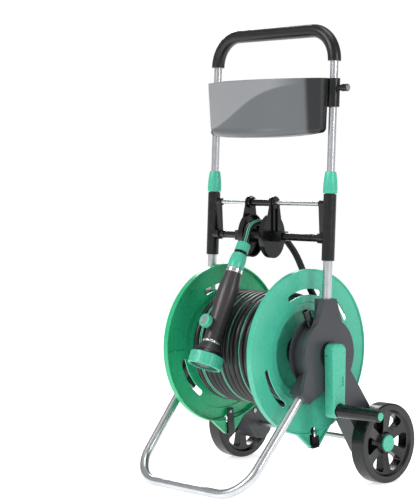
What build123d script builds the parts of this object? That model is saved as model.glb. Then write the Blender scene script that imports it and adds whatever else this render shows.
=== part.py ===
"""Garden hose reel cart: two wheels and a tubular foot carry a hose drum with a crank,
a telescopic handle with a basket, and a sliding hose guide from which the spray gun hangs.

Millimetres, +Z up. While it is modelled, X = 0 is the middle of the drum, Y = 0 is the
drum's axis, Z = 0 is the ground, +X is the crank side and +Y is the wheel side. Each piece
is moved by TO_ORIGIN as it is saved, so that the origin is the middle of the footprint.
"""

import os
from math import atan2, cos, degrees, hypot, pi, radians, sin, tan

from build123d import *

os.makedirs("parts", exist_ok=True)

# ---------------------------------------------------------------- driving dimensions
reel_z = 274.0  # height of the drum's axis
wheel_r = 82.5
wheel_width = 33.0  # from the hub's inner face to its outer face
wheel_rim_out = 3.0  # the rim stands this far beyond the hub's face
axle_y = 135.5  # the wheels stand this far behind the drum's axis
axle_r = 6.0
foot_y = -227.0  # the foot bar stands this far in front of it
foot_bend_r = 70.0
tube_lean = 0.046  # the uprights lean back this much for each millimetre of height
tube_foot_y = 2.0
upper_tube_r = 8.0
tube_wall = 1.2
slip = 0.25  # clearance of parts that slide or slip over each other
running = 0.05  # radial clearance of a running fit

flange_r = 170.0
flange_in_x = 116.0  # inner face of each flange's rim: half the space for the hose
flange_thick = 13.0
barrel_r = 93.0
barrel_wall = 3.0
drum_turn = 5.0  # the drum rests turned by this angle about +X

hose_r = 7.0

bracket_thick = 41.0
bracket_disc_r = 73.0
hub_r = 63.0
socket_reach = 112.0  # from the drum's axis to the mouth of each tube socket
journal_r = 20.0
bush_wall = 4.0

crank_thick = 25.0
crank_reach = 111.0  # from the drum's axis to the grip's axis
crank_grip_len = 113.0
crank_grip_r = 14.0

sleeve_len = 135.0
collar_len = 44.0
rod_r = 4.75  # upper cross rod
bar_r = 8.0  # lower cross bar
cross_pitch = 69.5  # between the two cross members

handle_rise = 654.5  # from the drum's axis to the top of the handle
handle_bend_r = 62.0
basket_height = 118.0
basket_depth = 74.0
basket_wall = 2.6

guide_x = -22.0  # middle of the hose guide
guide_disc_r = 46.0
guide_half = 33.0  # half the width of the guide's cheeks
roller_r = 13.0

# ---------------------------------------------------------------- derived places
flange_out_x = flange_in_x + flange_thick
bracket_in_x = flange_out_x + 14.0
bracket_out_x = bracket_in_x + bracket_thick
tube_x = bracket_in_x + 25.5  # the upright tubes
leg_hub_x = bracket_in_x + 29.0  # where the legs' lines would meet the plane of the drum's axis
foot_half = leg_hub_x - 15.0  # half the foot bar's length, measured between the legs' lines
crank_in_x = bracket_out_x + 3.0
wheel_outer_x = bracket_out_x + 7.0 + wheel_width  # outer face of each hub
lower_tube_r = upper_tube_r + 0.3 + tube_wall
sleeve_r = lower_tube_r + 3.7
grip_r = upper_tube_r + 5.5
sleeve_low_z = reel_z + 188.0
sleeve_top_z = sleeve_low_z + sleeve_len
rod_z = sleeve_top_z - 20.5
bar_z = rod_z - cross_pitch
handle_top_z = reel_z + handle_rise
handle_low_z = sleeve_low_z + 38.0
grip_low_z = handle_top_z - handle_bend_r - 1.5
basket_top_z = handle_top_z - 98.5
basket_low_z = basket_top_z - basket_height
basket_half = tube_x - 2.5
peg_z = basket_top_z - 20.0
layer_pitch = 1.8 * hose_r  # from one layer of turns to the next
turns_end_x = flange_in_x - 45.0  # the outer layer stops here
crank_out_x = crank_in_x + crank_thick
grip_start_x = crank_out_x - 8.0
grip_end_x = grip_start_x + crank_grip_len
cap_end_x = grip_end_x + 2.0
lower_tube_bore = lower_tube_r - tube_wall
inner_layer_r = barrel_r + hose_r + 0.3
outer_layer_r = inner_layer_r + layer_pitch
winding_r = outer_layer_r + hose_r
leg_dir = Vector(foot_half - leg_hub_x, foot_y, lower_tube_r - reel_z).normalized()
leg_flat = Vector(0, leg_dir.Y, leg_dir.Z).normalized()
arm_dir = Vector(0, axle_y, wheel_r - reel_z).normalized()
arm_len = hypot(axle_y, wheel_r - reel_z)

left_x = -wheel_outer_x - wheel_rim_out
back_y = axle_y + wheel_r
front_y = foot_y - lower_tube_r
TO_ORIGIN = Location((-(left_x + cap_end_x) / 2, -(back_y + front_y) / 2, 0))


def tube_y(z):
    """Y of an upright tube's axis at height z."""
    return tube_foot_y + tube_lean * (z - reel_z)


def tube_plane(z, x=tube_x):
    """Plane across an upright tube at height z, with its normal up the tube."""
    return Plane(origin=(x, tube_y(z), z), x_dir=(1, 0, 0), z_dir=(0, tube_lean, 1))


def side_plane(x, y=0.0, z=reel_z):
    """Plane facing +X at x, with its own x along +Y and its own y along +Z."""
    return Plane(origin=(x, y, z), x_dir=(0, 1, 0), z_dir=(1, 0, 0))


def along(direction, distance, x):
    """Point on the line from the drum's axis along a direction, set at x."""
    return Vector(x, direction.Y * distance, reel_z + direction.Z * distance)


def inlet_plane(distance):
    """Plane across the water inlet at a distance from the drum's axis."""
    return Plane(origin=along(inlet_dir, distance, inlet_x), x_dir=(1, 0, 0), z_dir=inlet_dir)


def save(part, name):
    """Moves a finished piece to the cart's origin, labels it and writes its STEP file."""
    placed = part.moved(TO_ORIGIN)
    placed.label = name
    export_step(placed, f"parts/{name}.step")


def save_pair(part, name):
    """Writes a right-hand piece and its mirror image on the left."""
    save(part, f"{name}_right")
    save(mirror(part, about=Plane.YZ), f"{name}_left")


# ---------------------------------------------------------------- ground frame
def leg_point(distance, side):
    """Point on a leg's line at a distance from the drum's axis."""
    return (side * (leg_hub_x + leg_dir.X * distance), leg_dir.Y * distance, reel_z + leg_dir.Z * distance)


leg_start = 78.0
with BuildPart() as front_stand:
    with BuildLine():
        FilletPolyline(
            leg_point(leg_start, 1),
            (foot_half, foot_y, lower_tube_r),
            (-foot_half, foot_y, lower_tube_r),
            leg_point(leg_start, -1),
            radius=foot_bend_r,
        )
    with BuildSketch(Plane(origin=leg_point(leg_start, 1), z_dir=leg_dir)):
        Circle(lower_tube_r)
        Circle(lower_tube_r - tube_wall, mode=Mode.SUBTRACT)
    sweep()
save(front_stand.part, "front_stand")

with BuildPart() as axle:
    with BuildSketch(side_plane(-wheel_outer_x + 4.0, axle_y, wheel_r)):
        Circle(axle_r)
    extrude(amount=2 * wheel_outer_x - 8.0)
    chamfer(axle.edges().filter_by(GeomType.CIRCLE), 0.8)
save(axle.part, "axle")

# Side bracket: one hollow moulding that holds the upright, the leg, the drum's bearing and the axle.
neck_half = 16.5
socket_half = 16.0
socket_in_x = bracket_in_x + 11.0
shoulder_in_x = bracket_in_x + 25.0
inlet_x = bracket_in_x + 14.0
inlet_angle = 115.0
inlet_dir = Vector(0, cos(radians(inlet_angle)), sin(radians(inlet_angle)))
inlet_base_r = 7.5
inlet_bore_r = 4.0
arm_half = 27.0
arm_end_r = 34.0
wall = 3.0
cover_thick = 2.6
arm_start = 66.0
screw_pitch = 25.0  # from the axle to the cover's screw
arm_angle = degrees(atan2(arm_dir.Z, arm_dir.Y))
leg_angle = degrees(atan2(leg_flat.Z, leg_flat.Y))
screw_r = 2.0
screw_len = 14.0


def screw_plane(x):
    """Plane facing +X at x, centred on the arm cover's screw."""
    at = arm_dir * (arm_len - screw_pitch - 12.0)
    return side_plane(x, at.Y, reel_z + at.Z)


with BuildPart() as bracket:
    # face plate with the neck that runs up to the upright's socket
    with BuildSketch(side_plane(bracket_out_x - 9.0)):
        Circle(bracket_disc_r)
    extrude(amount=9.0)
    with BuildSketch(side_plane(socket_in_x)):
        with Locations((3.0, (socket_reach + 55.0) / 2)):
            Rectangle(2 * neck_half, socket_reach - 55.0)
    extrude(amount=bracket_out_x - socket_in_x)
    with BuildSketch(side_plane(shoulder_in_x)):
        with BuildLine():
            Polyline(
                (-neck_half + 3, socket_reach),
                (neck_half + 3, socket_reach),
                (33.0, 74.0),
                (40.0, 55.0),
                (-40.0, 55.0),
                (-33.0, 67.0),
                close=True,
            )
        make_face()
    extrude(amount=bracket_out_x - shoulder_in_x)
    # socket of the front leg
    with BuildSketch(side_plane(socket_in_x - 3.0)):
        with Locations(Rotation(0, 0, leg_angle)):
            with Locations((socket_reach / 2 + 20, 0)):
                Rectangle(socket_reach - 40, 2 * socket_half)
    extrude(amount=bracket_out_x - socket_in_x + 3.0)
    with BuildSketch(side_plane(bracket_out_x - 9.0)):
        with BuildLine():
            Polyline(
                (-66.0, -22.0),
                tuple(leg_flat * 100.0 + Vector(0, -13.0, 11.0))[1:],
                tuple(leg_flat * socket_reach + Vector(0, 12.4, -10.4))[1:],
                (-14.0, -72.0),
                (-20.0, -30.0),
                close=True,
            )
        make_face()
    extrude(amount=9.0)
    # bearing hub
    with BuildSketch(side_plane(bracket_in_x + 3.0)):
        Circle(hub_r)
    extrude(amount=bracket_out_x - bracket_in_x - 6.0)
    # rear arm, a box that ends round the axle
    with BuildSketch(side_plane(bracket_in_x)):
        with BuildLine():
            arm_side = arm_dir.rotate(Axis.X, 90)
            near = arm_dir * 40.0
            far = arm_dir * arm_len
            top_near = near - arm_side * arm_half
            low_near = near + arm_side * arm_half
            top_far = far - arm_side * arm_end_r
            low_far = far + arm_side * arm_end_r
            far_end = far + arm_dir * arm_end_r
            Line((top_near.Y, top_near.Z), (top_far.Y, top_far.Z))
            ThreePointArc((top_far.Y, top_far.Z), (far_end.Y, far_end.Z), (low_far.Y, low_far.Z))
            Line((low_far.Y, low_far.Z), (low_near.Y, low_near.Z))
            Line((low_near.Y, low_near.Z), (top_near.Y, top_near.Z))
        make_face()
    extrude(amount=bracket_out_x - bracket_in_x + 2.4)
    # hollow of the arm, open towards the drum, with bosses for the axle and the screw
    with BuildSketch(side_plane(bracket_in_x)):
        with Locations(Rotation(0, 0, arm_angle)):
            with Locations(((arm_start + arm_len + 6.0) / 2 + 2.0, 0)):
                SlotOverall(arm_len - arm_start + 2 * (arm_half - wall) + 2.0, 2 * (arm_half - wall))
    extrude(amount=bracket_out_x - bracket_in_x - wall, mode=Mode.SUBTRACT)
    with BuildSketch(side_plane(bracket_in_x + cover_thick, axle_y, wheel_r)):
        Circle(axle_r + 5.0)
    extrude(amount=bracket_out_x - bracket_in_x - cover_thick)
    with BuildSketch(screw_plane(bracket_in_x + cover_thick)):
        Circle(5.0)
    extrude(amount=bracket_out_x - bracket_in_x - cover_thick)
    with BuildSketch(screw_plane(bracket_in_x)):
        Circle(screw_r)
    extrude(amount=screw_len, mode=Mode.SUBTRACT)
    # bores: axle, bearing bush, upright and leg
    with BuildSketch(side_plane(bracket_in_x - 1.0, axle_y, wheel_r)):
        Circle(axle_r)
    extrude(amount=60.0, mode=Mode.SUBTRACT)
    with BuildSketch(side_plane(bracket_in_x - 1.0)):
        Circle(journal_r + bush_wall)
    extrude(amount=60.0, mode=Mode.SUBTRACT)
    with BuildSketch(side_plane(bracket_in_x - 1.0)):
        Circle(hub_r - wall)
        Circle(journal_r + bush_wall + wall, mode=Mode.SUBTRACT)
    extrude(amount=12.0, mode=Mode.SUBTRACT)
    with BuildSketch(tube_plane(reel_z + 40.0)):
        Circle(lower_tube_r)
    extrude(amount=120.0, mode=Mode.SUBTRACT)
    with BuildSketch(Plane(origin=leg_point(leg_start, 1), z_dir=leg_dir)):
        Circle(lower_tube_r)
    extrude(amount=120.0, mode=Mode.SUBTRACT)
save(mirror(bracket.part, about=Plane.YZ), "side_bracket_left")

# the right-hand bracket also carries the water inlet
with BuildPart() as wet_bracket:
    add(bracket.part)
    with BuildSketch(inlet_plane(hub_r - 4.0)):
        Circle(inlet_base_r)
    extrude(amount=20.0, mode=Mode.SUBTRACT)
    with BuildSketch(inlet_plane(0.0)):
        Circle(inlet_bore_r)
    extrude(amount=hub_r, mode=Mode.SUBTRACT)
save(wet_bracket.part, "side_bracket_right")

with BuildPart() as arm_cover:
    with BuildSketch(side_plane(bracket_in_x)):
        with Locations(Rotation(0, 0, arm_angle)):
            with Locations(((arm_start + arm_len + 6.0) / 2 + 2.0, 0)):
                SlotOverall(
                    arm_len - arm_start + 2 * (arm_half - wall) + 1.6, 2 * (arm_half - wall) - 0.4
                )
                Rectangle(2.0, 60.0, mode=Mode.SUBTRACT)
    extrude(amount=cover_thick)
    with BuildSketch(side_plane(bracket_in_x)):
        with Locations(Rotation(0, 0, arm_angle)):
            with Locations(((arm_start + arm_len + 6.0) / 2 + 2.0, 0)):
                Rectangle(2.0, 2 * (arm_half - wall) - 0.4)
    extrude(amount=1.2)
    with BuildSketch(side_plane(bracket_in_x, axle_y, wheel_r)):
        Circle(axle_r + 0.3)
    extrude(amount=cover_thick, mode=Mode.SUBTRACT)
    with BuildSketch(screw_plane(bracket_in_x)):
        Circle(screw_r)
    extrude(amount=cover_thick, mode=Mode.SUBTRACT)
save_pair(arm_cover.part, "arm_cover")

with BuildPart() as cover_screw:
    with BuildSketch(screw_plane(bracket_in_x - 2.4)):
        Circle(screw_r + 2.2)
    extrude(amount=2.4)
    with BuildSketch(screw_plane(bracket_in_x - 2.4)):
        Rectangle(5.0, 1.2)
        Rectangle(1.2, 5.0)
    extrude(amount=1.4, mode=Mode.SUBTRACT)
    with BuildSketch(screw_plane(bracket_in_x)):
        Circle(screw_r)
    extrude(amount=screw_len)
    mirror(about=Plane.YZ)
save(cover_screw.part, "cover_screws")

# Ring that closes the inner side of the bearing hub.
with BuildPart() as hub_ring:
    with BuildSketch(side_plane(bracket_in_x - 4.0)):
        Circle(bracket_disc_r)
        Circle(hub_r - wall - 6.0, mode=Mode.SUBTRACT)
    extrude(amount=7.0)
    with BuildSketch(side_plane(bracket_in_x, axle_y, wheel_r)):
        with Locations(Rotation(0, 0, arm_angle)):
            with Locations((-arm_len / 2 - 10, 0)):
                Rectangle(arm_len, 2 * arm_half + 2.0)
    extrude(amount=3.0, mode=Mode.SUBTRACT)
    fillet(hub_ring.edges().filter_by(GeomType.CIRCLE).sort_by(Axis.X)[0:1], 1.0)
save_pair(hub_ring.part, "hub_ring")

with BuildPart() as bush:
    with BuildSketch(side_plane(bracket_in_x + 3.0)):
        Circle(journal_r + bush_wall)
    extrude(amount=bracket_out_x - bracket_in_x - 3.0)
    with BuildSketch(side_plane(bracket_out_x)):
        Circle(journal_r + bush_wall + 4.0)
    extrude(amount=1.6)
    with BuildSketch(side_plane(bracket_in_x)):
        Circle(journal_r + running)
    extrude(amount=60.0, mode=Mode.SUBTRACT)
save(mirror(bush.part, about=Plane.YZ), "bearing_bush_left")
with BuildPart() as wet_bush:
    add(bush.part)
    with BuildSketch(inlet_plane(0.0)):
        Circle(inlet_bore_r)
    extrude(amount=hub_r, mode=Mode.SUBTRACT)
save(wet_bush.part, "bearing_bush_right")

# ---------------------------------------------------------------- uprights
lower_tube_low_z = reel_z + 44.0
with BuildPart() as lower_tube:
    with BuildSketch(tube_plane(lower_tube_low_z)):
        Circle(lower_tube_r)
        Circle(lower_tube_bore, mode=Mode.SUBTRACT)
    extrude(amount=sleeve_top_z - lower_tube_low_z - 3.0)
save_pair(lower_tube.part, "lower_tube")

stub_x = tube_x - 25.5  # inner end of the cross members' sockets
with BuildPart() as sleeve:
    with BuildSketch(tube_plane(sleeve_low_z)):
        Circle(sleeve_r)
    extrude(amount=sleeve_top_z - sleeve_low_z)
    fillet(sleeve.edges().filter_by(GeomType.CIRCLE), 1.0)
    with BuildSketch(Plane(origin=(stub_x, tube_y(bar_z), bar_z), x_dir=(0, 1, 0), z_dir=(1, 0, 0))):
        Circle(bar_r + 3.0)
    extrude(amount=tube_x - stub_x)
    with BuildSketch(Plane(origin=(stub_x, tube_y(rod_z), rod_z), x_dir=(0, 1, 0), z_dir=(1, 0, 0))):
        Circle(rod_r + 3.0)
    extrude(amount=tube_x - stub_x)
    web_mid = (bar_z + rod_z) / 2
    web_corner = (stub_x + 0.5, tube_y(web_mid), web_mid)
    with BuildSketch(Plane(origin=web_corner, x_dir=(0, 1, tube_lean), z_dir=(1, 0, 0))):
        Rectangle(7.0, rod_z - bar_z + 4.0)
    extrude(amount=tube_x - stub_x)
    with BuildSketch(tube_plane(sleeve_low_z)):
        Circle(lower_tube_r)
    extrude(amount=sleeve_top_z - sleeve_low_z - 3.0, mode=Mode.SUBTRACT)
    with BuildSketch(tube_plane(sleeve_low_z)):
        Circle(upper_tube_r + slip)
    extrude(amount=sleeve_top_z - sleeve_low_z + 1.0, mode=Mode.SUBTRACT)
    with BuildSketch(Plane(origin=(stub_x, tube_y(rod_z), rod_z), x_dir=(0, 1, 0), z_dir=(1, 0, 0))):
        Circle(rod_r)
    extrude(amount=9.0, mode=Mode.SUBTRACT)
    with BuildSketch(Plane(origin=(stub_x, tube_y(bar_z), bar_z), x_dir=(0, 1, 0), z_dir=(1, 0, 0))):
        Circle(bar_r)
    extrude(amount=9.0, mode=Mode.SUBTRACT)
save_pair(sleeve.part, "tube_sleeve")

with BuildPart() as cross_rod:
    with BuildSketch(Plane(origin=(-stub_x - 9.0, tube_y(rod_z), rod_z), x_dir=(0, 1, 0), z_dir=(1, 0, 0))):
        Circle(rod_r)
    extrude(amount=2 * stub_x + 18.0)
save(cross_rod.part, "upper_cross_rod")

bar_step = 0.9  # the bar is thicker between its necked ends
with BuildPart() as cross_bar:
    with BuildSketch(Plane(origin=(-stub_x - 9.0, tube_y(bar_z), bar_z), x_dir=(0, 1, 0), z_dir=(1, 0, 0))):
        Circle(bar_r)
    extrude(amount=2 * stub_x + 18.0)
    for start in (-stub_x + 14.0, stub_x - 20.0):
        with BuildSketch(Plane(origin=(start, tube_y(bar_z), bar_z), x_dir=(0, 1, 0), z_dir=(1, 0, 0))):
            Circle(bar_r + 1.0)
            Circle(bar_r - bar_step, mode=Mode.SUBTRACT)
        extrude(amount=6.0, mode=Mode.SUBTRACT)
save(cross_bar.part, "lower_cross_bar")

# Twist collar and the split collet that it squeezes on the sliding tube.
collar_z = sleeve_top_z + 1.0
collar_low_r = upper_tube_r + 6.6
collar_top_r = upper_tube_r + 2.9
collet_r = upper_tube_r + 2.4
with BuildPart() as collar:
    with BuildSketch(tube_plane(collar_z)):
        Circle(collar_low_r)
    with BuildSketch(tube_plane(collar_z + 30.0)):
        Circle(collar_low_r - 1.4)
    with BuildSketch(tube_plane(collar_z + collar_len)):
        Circle(collar_top_r)
    loft()
    with BuildSketch(tube_plane(collar_z + 7.0)):
        with PolarLocations(collar_low_r + 4.6, 10):
            Circle(5.6)
    extrude(amount=collar_len - 16.0, mode=Mode.SUBTRACT)
    with BuildSketch(tube_plane(collar_z)):
        Circle(collet_r + 0.1)
    extrude(amount=collar_len - 8.0, mode=Mode.SUBTRACT)
    with BuildSketch(tube_plane(collar_z)):
        Circle(upper_tube_r + slip)
    extrude(amount=collar_len + 1.0, mode=Mode.SUBTRACT)
save_pair(collar.part, "twist_collar")

with BuildPart() as collet:
    with BuildSketch(tube_plane(sleeve_top_z)):
        Circle(collet_r)
        Circle(upper_tube_r + slip, mode=Mode.SUBTRACT)
        with PolarLocations(collet_r, 4):
            Rectangle(6.0, 1.4, mode=Mode.SUBTRACT)
    extrude(amount=collar_len - 10.0)
    with BuildSketch(tube_plane(sleeve_top_z)):
        Circle(collet_r)
        Circle(upper_tube_r + slip, mode=Mode.SUBTRACT)
    extrude(amount=4.0)
save_pair(collet.part, "collet")

# ---------------------------------------------------------------- telescopic handle
handle_top = (tube_y(handle_top_z), handle_top_z)
with BuildPart() as handle_tube:
    with BuildLine():
        FilletPolyline(
            (tube_x, tube_y(handle_low_z), handle_low_z),
            (tube_x, *handle_top),
            (-tube_x, *handle_top),
            (-tube_x, tube_y(handle_low_z), handle_low_z),
            radius=handle_bend_r,
        )
    with BuildSketch(tube_plane(handle_low_z)):
        Circle(upper_tube_r)
        Circle(upper_tube_r - tube_wall, mode=Mode.SUBTRACT)
    sweep()
save(handle_tube.part, "handle_tube")

with BuildPart() as grip:
    with BuildLine():
        FilletPolyline(
            (tube_x, tube_y(grip_low_z), grip_low_z),
            (tube_x, *handle_top),
            (-tube_x, *handle_top),
            (-tube_x, tube_y(grip_low_z), grip_low_z),
            radius=handle_bend_r,
        )
    with BuildSketch(tube_plane(grip_low_z)):
        Circle(grip_r)
        Circle(upper_tube_r, mode=Mode.SUBTRACT)
    sweep()
save(grip.part, "foam_grip")

# Basket: a D-shaped tub hung on the uprights by two ears.
basket_mid = (basket_top_z + basket_low_z) / 2
tub_back_y = tube_y(basket_mid) - upper_tube_r - 2.0
ear_r = upper_tube_r + 5.0
ear_low_z = basket_top_z - 58.0


with BuildPart() as basket:
    with BuildSketch(Plane.XY.offset(basket_low_z)):
        with BuildLine():
            Line((-basket_half, tub_back_y), (basket_half, tub_back_y))
            Line((basket_half, tub_back_y), (basket_half, tub_back_y - 20.0))
            ThreePointArc(
                (basket_half, tub_back_y - 20.0),
                (0, tub_back_y - basket_depth),
                (-basket_half, tub_back_y - 20.0),
            )
            Line((-basket_half, tub_back_y - 20.0), (-basket_half, tub_back_y))
        make_face()
    extrude(amount=basket_top_z - basket_low_z)
    fillet(basket.edges().filter_by(Axis.Z).group_by(Axis.Y)[0], 12.0)
    chamfer(basket.faces().sort_by(Axis.Z)[0].edges(), 7.0)
    offset(amount=-basket_wall, openings=basket.faces().sort_by(Axis.Z)[-1])
    # ears that clasp the sliding tubes
    for side in (1, -1):
        with BuildSketch(tube_plane(ear_low_z, side * tube_x)):
            Circle(ear_r)
            with Locations((-side * 5.0, -8.5)):
                Rectangle(14.0, 9.0)
        extrude(amount=basket_top_z - ear_low_z - 0.2)
    for side in (1, -1):
        with BuildSketch(tube_plane(basket_low_z - 20.0, side * tube_x)):
            Circle(upper_tube_r)
        extrude(amount=basket_top_z - basket_low_z + 60.0, mode=Mode.SUBTRACT)
save(basket.part, "basket")

# Peg on the right-hand ear: a neck and a thicker head, on which a spare fitting is pushed.
peg_neck_r = 6.0
peg_head_r = 7.6
peg_head_x = tube_x + ear_r + 12.0
peg_head_len = 14.0
with BuildPart() as peg:
    with BuildSketch(side_plane(tube_x + ear_r - 1.0, tube_y(peg_z), peg_z)):
        Circle(peg_neck_r)
    extrude(amount=peg_head_x - tube_x - ear_r + 1.0)
    with BuildSketch(side_plane(peg_head_x, tube_y(peg_z), peg_z)):
        Circle(peg_head_r)
    extrude(amount=peg_head_len)
    fillet(peg.edges().filter_by(GeomType.CIRCLE).group_by(Axis.X)[-1], 2.0)
    with BuildSketch(tube_plane(peg_z - 20.0)):
        Circle(ear_r)
    extrude(amount=40.0, mode=Mode.SUBTRACT)
save(peg.part, "accessory_peg")

# ---------------------------------------------------------------- wheels
hole_in_r = 25.0
rim_in_r = wheel_r - 14.0
hole_out_r = wheel_r - 21.5
spoke_in_half = 8.0
spoke_out_half = 11.0
hub_cap_r = 17.5
wheel_in_x = wheel_outer_x - wheel_width
rim_x = wheel_outer_x + wheel_rim_out
retainer_r = 10.0
spokes = 6
low_angle = pi / spokes - spoke_in_half / hole_in_r
high_angle = pi / spokes - spoke_out_half / hole_out_r
low_corner = (hole_in_r * cos(low_angle), hole_in_r * sin(low_angle))
high_corner = (hole_out_r * cos(high_angle), hole_out_r * sin(high_angle))
with BuildSketch() as wheel_hole:
    with BuildLine():
        Line(low_corner, high_corner)
        ThreePointArc(high_corner, (hole_out_r, 0), (high_corner[0], -high_corner[1]))
        Line((high_corner[0], -high_corner[1]), (low_corner[0], -low_corner[1]))
        Line((low_corner[0], -low_corner[1]), low_corner)
    make_face()
    fillet(wheel_hole.vertices().group_by(Axis.X)[-1], 6.0)
    fillet(wheel_hole.vertices().group_by(Axis.X)[0], 4.0)

with BuildPart() as wheel:
    with BuildSketch(Plane(origin=(0, axle_y, wheel_r), x_dir=(1, 0, 0), z_dir=(0, -1, 0))):
        with BuildLine():
            Polyline(
                (wheel_in_x, axle_r + running),
                (wheel_in_x, 20.0),
                (wheel_in_x + 9.0, 21.5),
                (wheel_in_x + 9.0, rim_in_r - 2.5),
                (wheel_in_x + 1.5, rim_in_r + 1.5),
                (wheel_in_x + 1.5, wheel_r - 2.5),
                (wheel_in_x + 4.0, wheel_r),
                (rim_x - 3.0, wheel_r),
                (rim_x - 0.8, wheel_r - 0.8),
                (rim_x, wheel_r - 3.0),
                (rim_x, rim_in_r),
                (rim_x - 5.5, rim_in_r - 4.0),
                (wheel_outer_x - 8.0, 23.5),
                (wheel_outer_x - 2.5, 20.5),
                (wheel_outer_x - 2.5, retainer_r + 1.0),
                (wheel_outer_x - 7.5, retainer_r + 1.0),
                (wheel_outer_x - 7.5, axle_r + running),
                close=True,
            )
        make_face()
    revolve(axis=Axis((0, axle_y, wheel_r), (1, 0, 0)))
    with BuildSketch(side_plane(wheel_in_x - 1.0, axle_y, wheel_r)):
        with PolarLocations(0, spokes):
            add(wheel_hole.sketch)
    extrude(amount=wheel_width + 2.0, mode=Mode.SUBTRACT)
save_pair(wheel.part, "wheel")

# Push-on retainers hold the wheels on the axle's ends.
with BuildPart() as retainer:
    with BuildSketch(side_plane(wheel_outer_x - 7.0, axle_y, wheel_r)):
        Circle(retainer_r)
        Circle(axle_r, mode=Mode.SUBTRACT)
    extrude(amount=2.0)
    mirror(about=Plane.YZ)
save(retainer.part, "axle_retainers")

with BuildPart() as hub_cap:
    with BuildSketch(side_plane(wheel_outer_x - 2.5, axle_y, wheel_r)):
        Circle(hub_cap_r)
    extrude(amount=4.1)
    fillet(hub_cap.edges().filter_by(GeomType.CIRCLE).sort_by(Axis.X)[-1], 1.8)
save_pair(hub_cap.part, "hub_cap")

# ---------------------------------------------------------------- drum
axis_line = Axis((0, 0, reel_z), (1, 0, 0))
turn = radians(drum_turn)


def drum_plane(x):
    """Plane facing +X at x that turns with the drum: its own y points at the top slot."""
    return Plane(origin=(x, 0, reel_z), x_dir=(0, cos(turn), sin(turn)), z_dir=(1, 0, 0))


def radial_plane(angle=90.0):
    """Plane through the drum's axis: its own x along +X and its own y outward at an angle from +Y."""
    at = radians(angle) + turn
    return Plane(origin=(0, 0, reel_z), x_dir=(1, 0, 0), z_dir=(0, -sin(at), cos(at)))


cup_r = barrel_r - barrel_wall - 0.1
cup_wall = 2.9
cup_floor_x = flange_in_x - 23.0
recess_r = barrel_r + 10.0
web = 3.0
slot_r = recess_r + 20.5
slot_width = 12.5
slot_arc = 40.0
tab_r = flange_r + 27.0
tab_half = 13.0
tab_root_r = flange_r - 10.0
tab_root_half = 51.0
recess_deep = 1.7
notch_half = 10.5
notch_in_r = flange_r - 4.0
clip_half = 9.0
rivet_r = 1.8
rivet_at = flange_r - 20.0
outlet_x = cup_floor_x - 11.0
ring_mid_r = (recess_r + flange_r) / 2 + 6.5

with BuildPart() as barrel:
    with BuildSketch(side_plane(-flange_in_x + 0.1)):
        Circle(barrel_r)
        Circle(barrel_r - barrel_wall, mode=Mode.SUBTRACT)
    extrude(amount=2 * flange_in_x - 0.2)
    # hole through which the hose's inner end reaches the water passage
    with BuildSketch(Plane(origin=(outlet_x, 0, reel_z), z_dir=(0, 0, 1))):
        Circle(hose_r + 2.0)
    extrude(amount=barrel_r + 5.0, mode=Mode.SUBTRACT)
save(barrel.part, "drum_barrel")

slot_end = slot_width - 4.0
with BuildSketch() as flange_slots:
    for middle in (90.0, 210.0, 330.0):
        SlotArc(CenterArc((0, 0), slot_r, middle - slot_arc / 2, slot_arc), slot_width)
    SlotArc(CenterArc((0, 0), slot_r + 5.0, 24.0, 20.0), slot_end)

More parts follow.
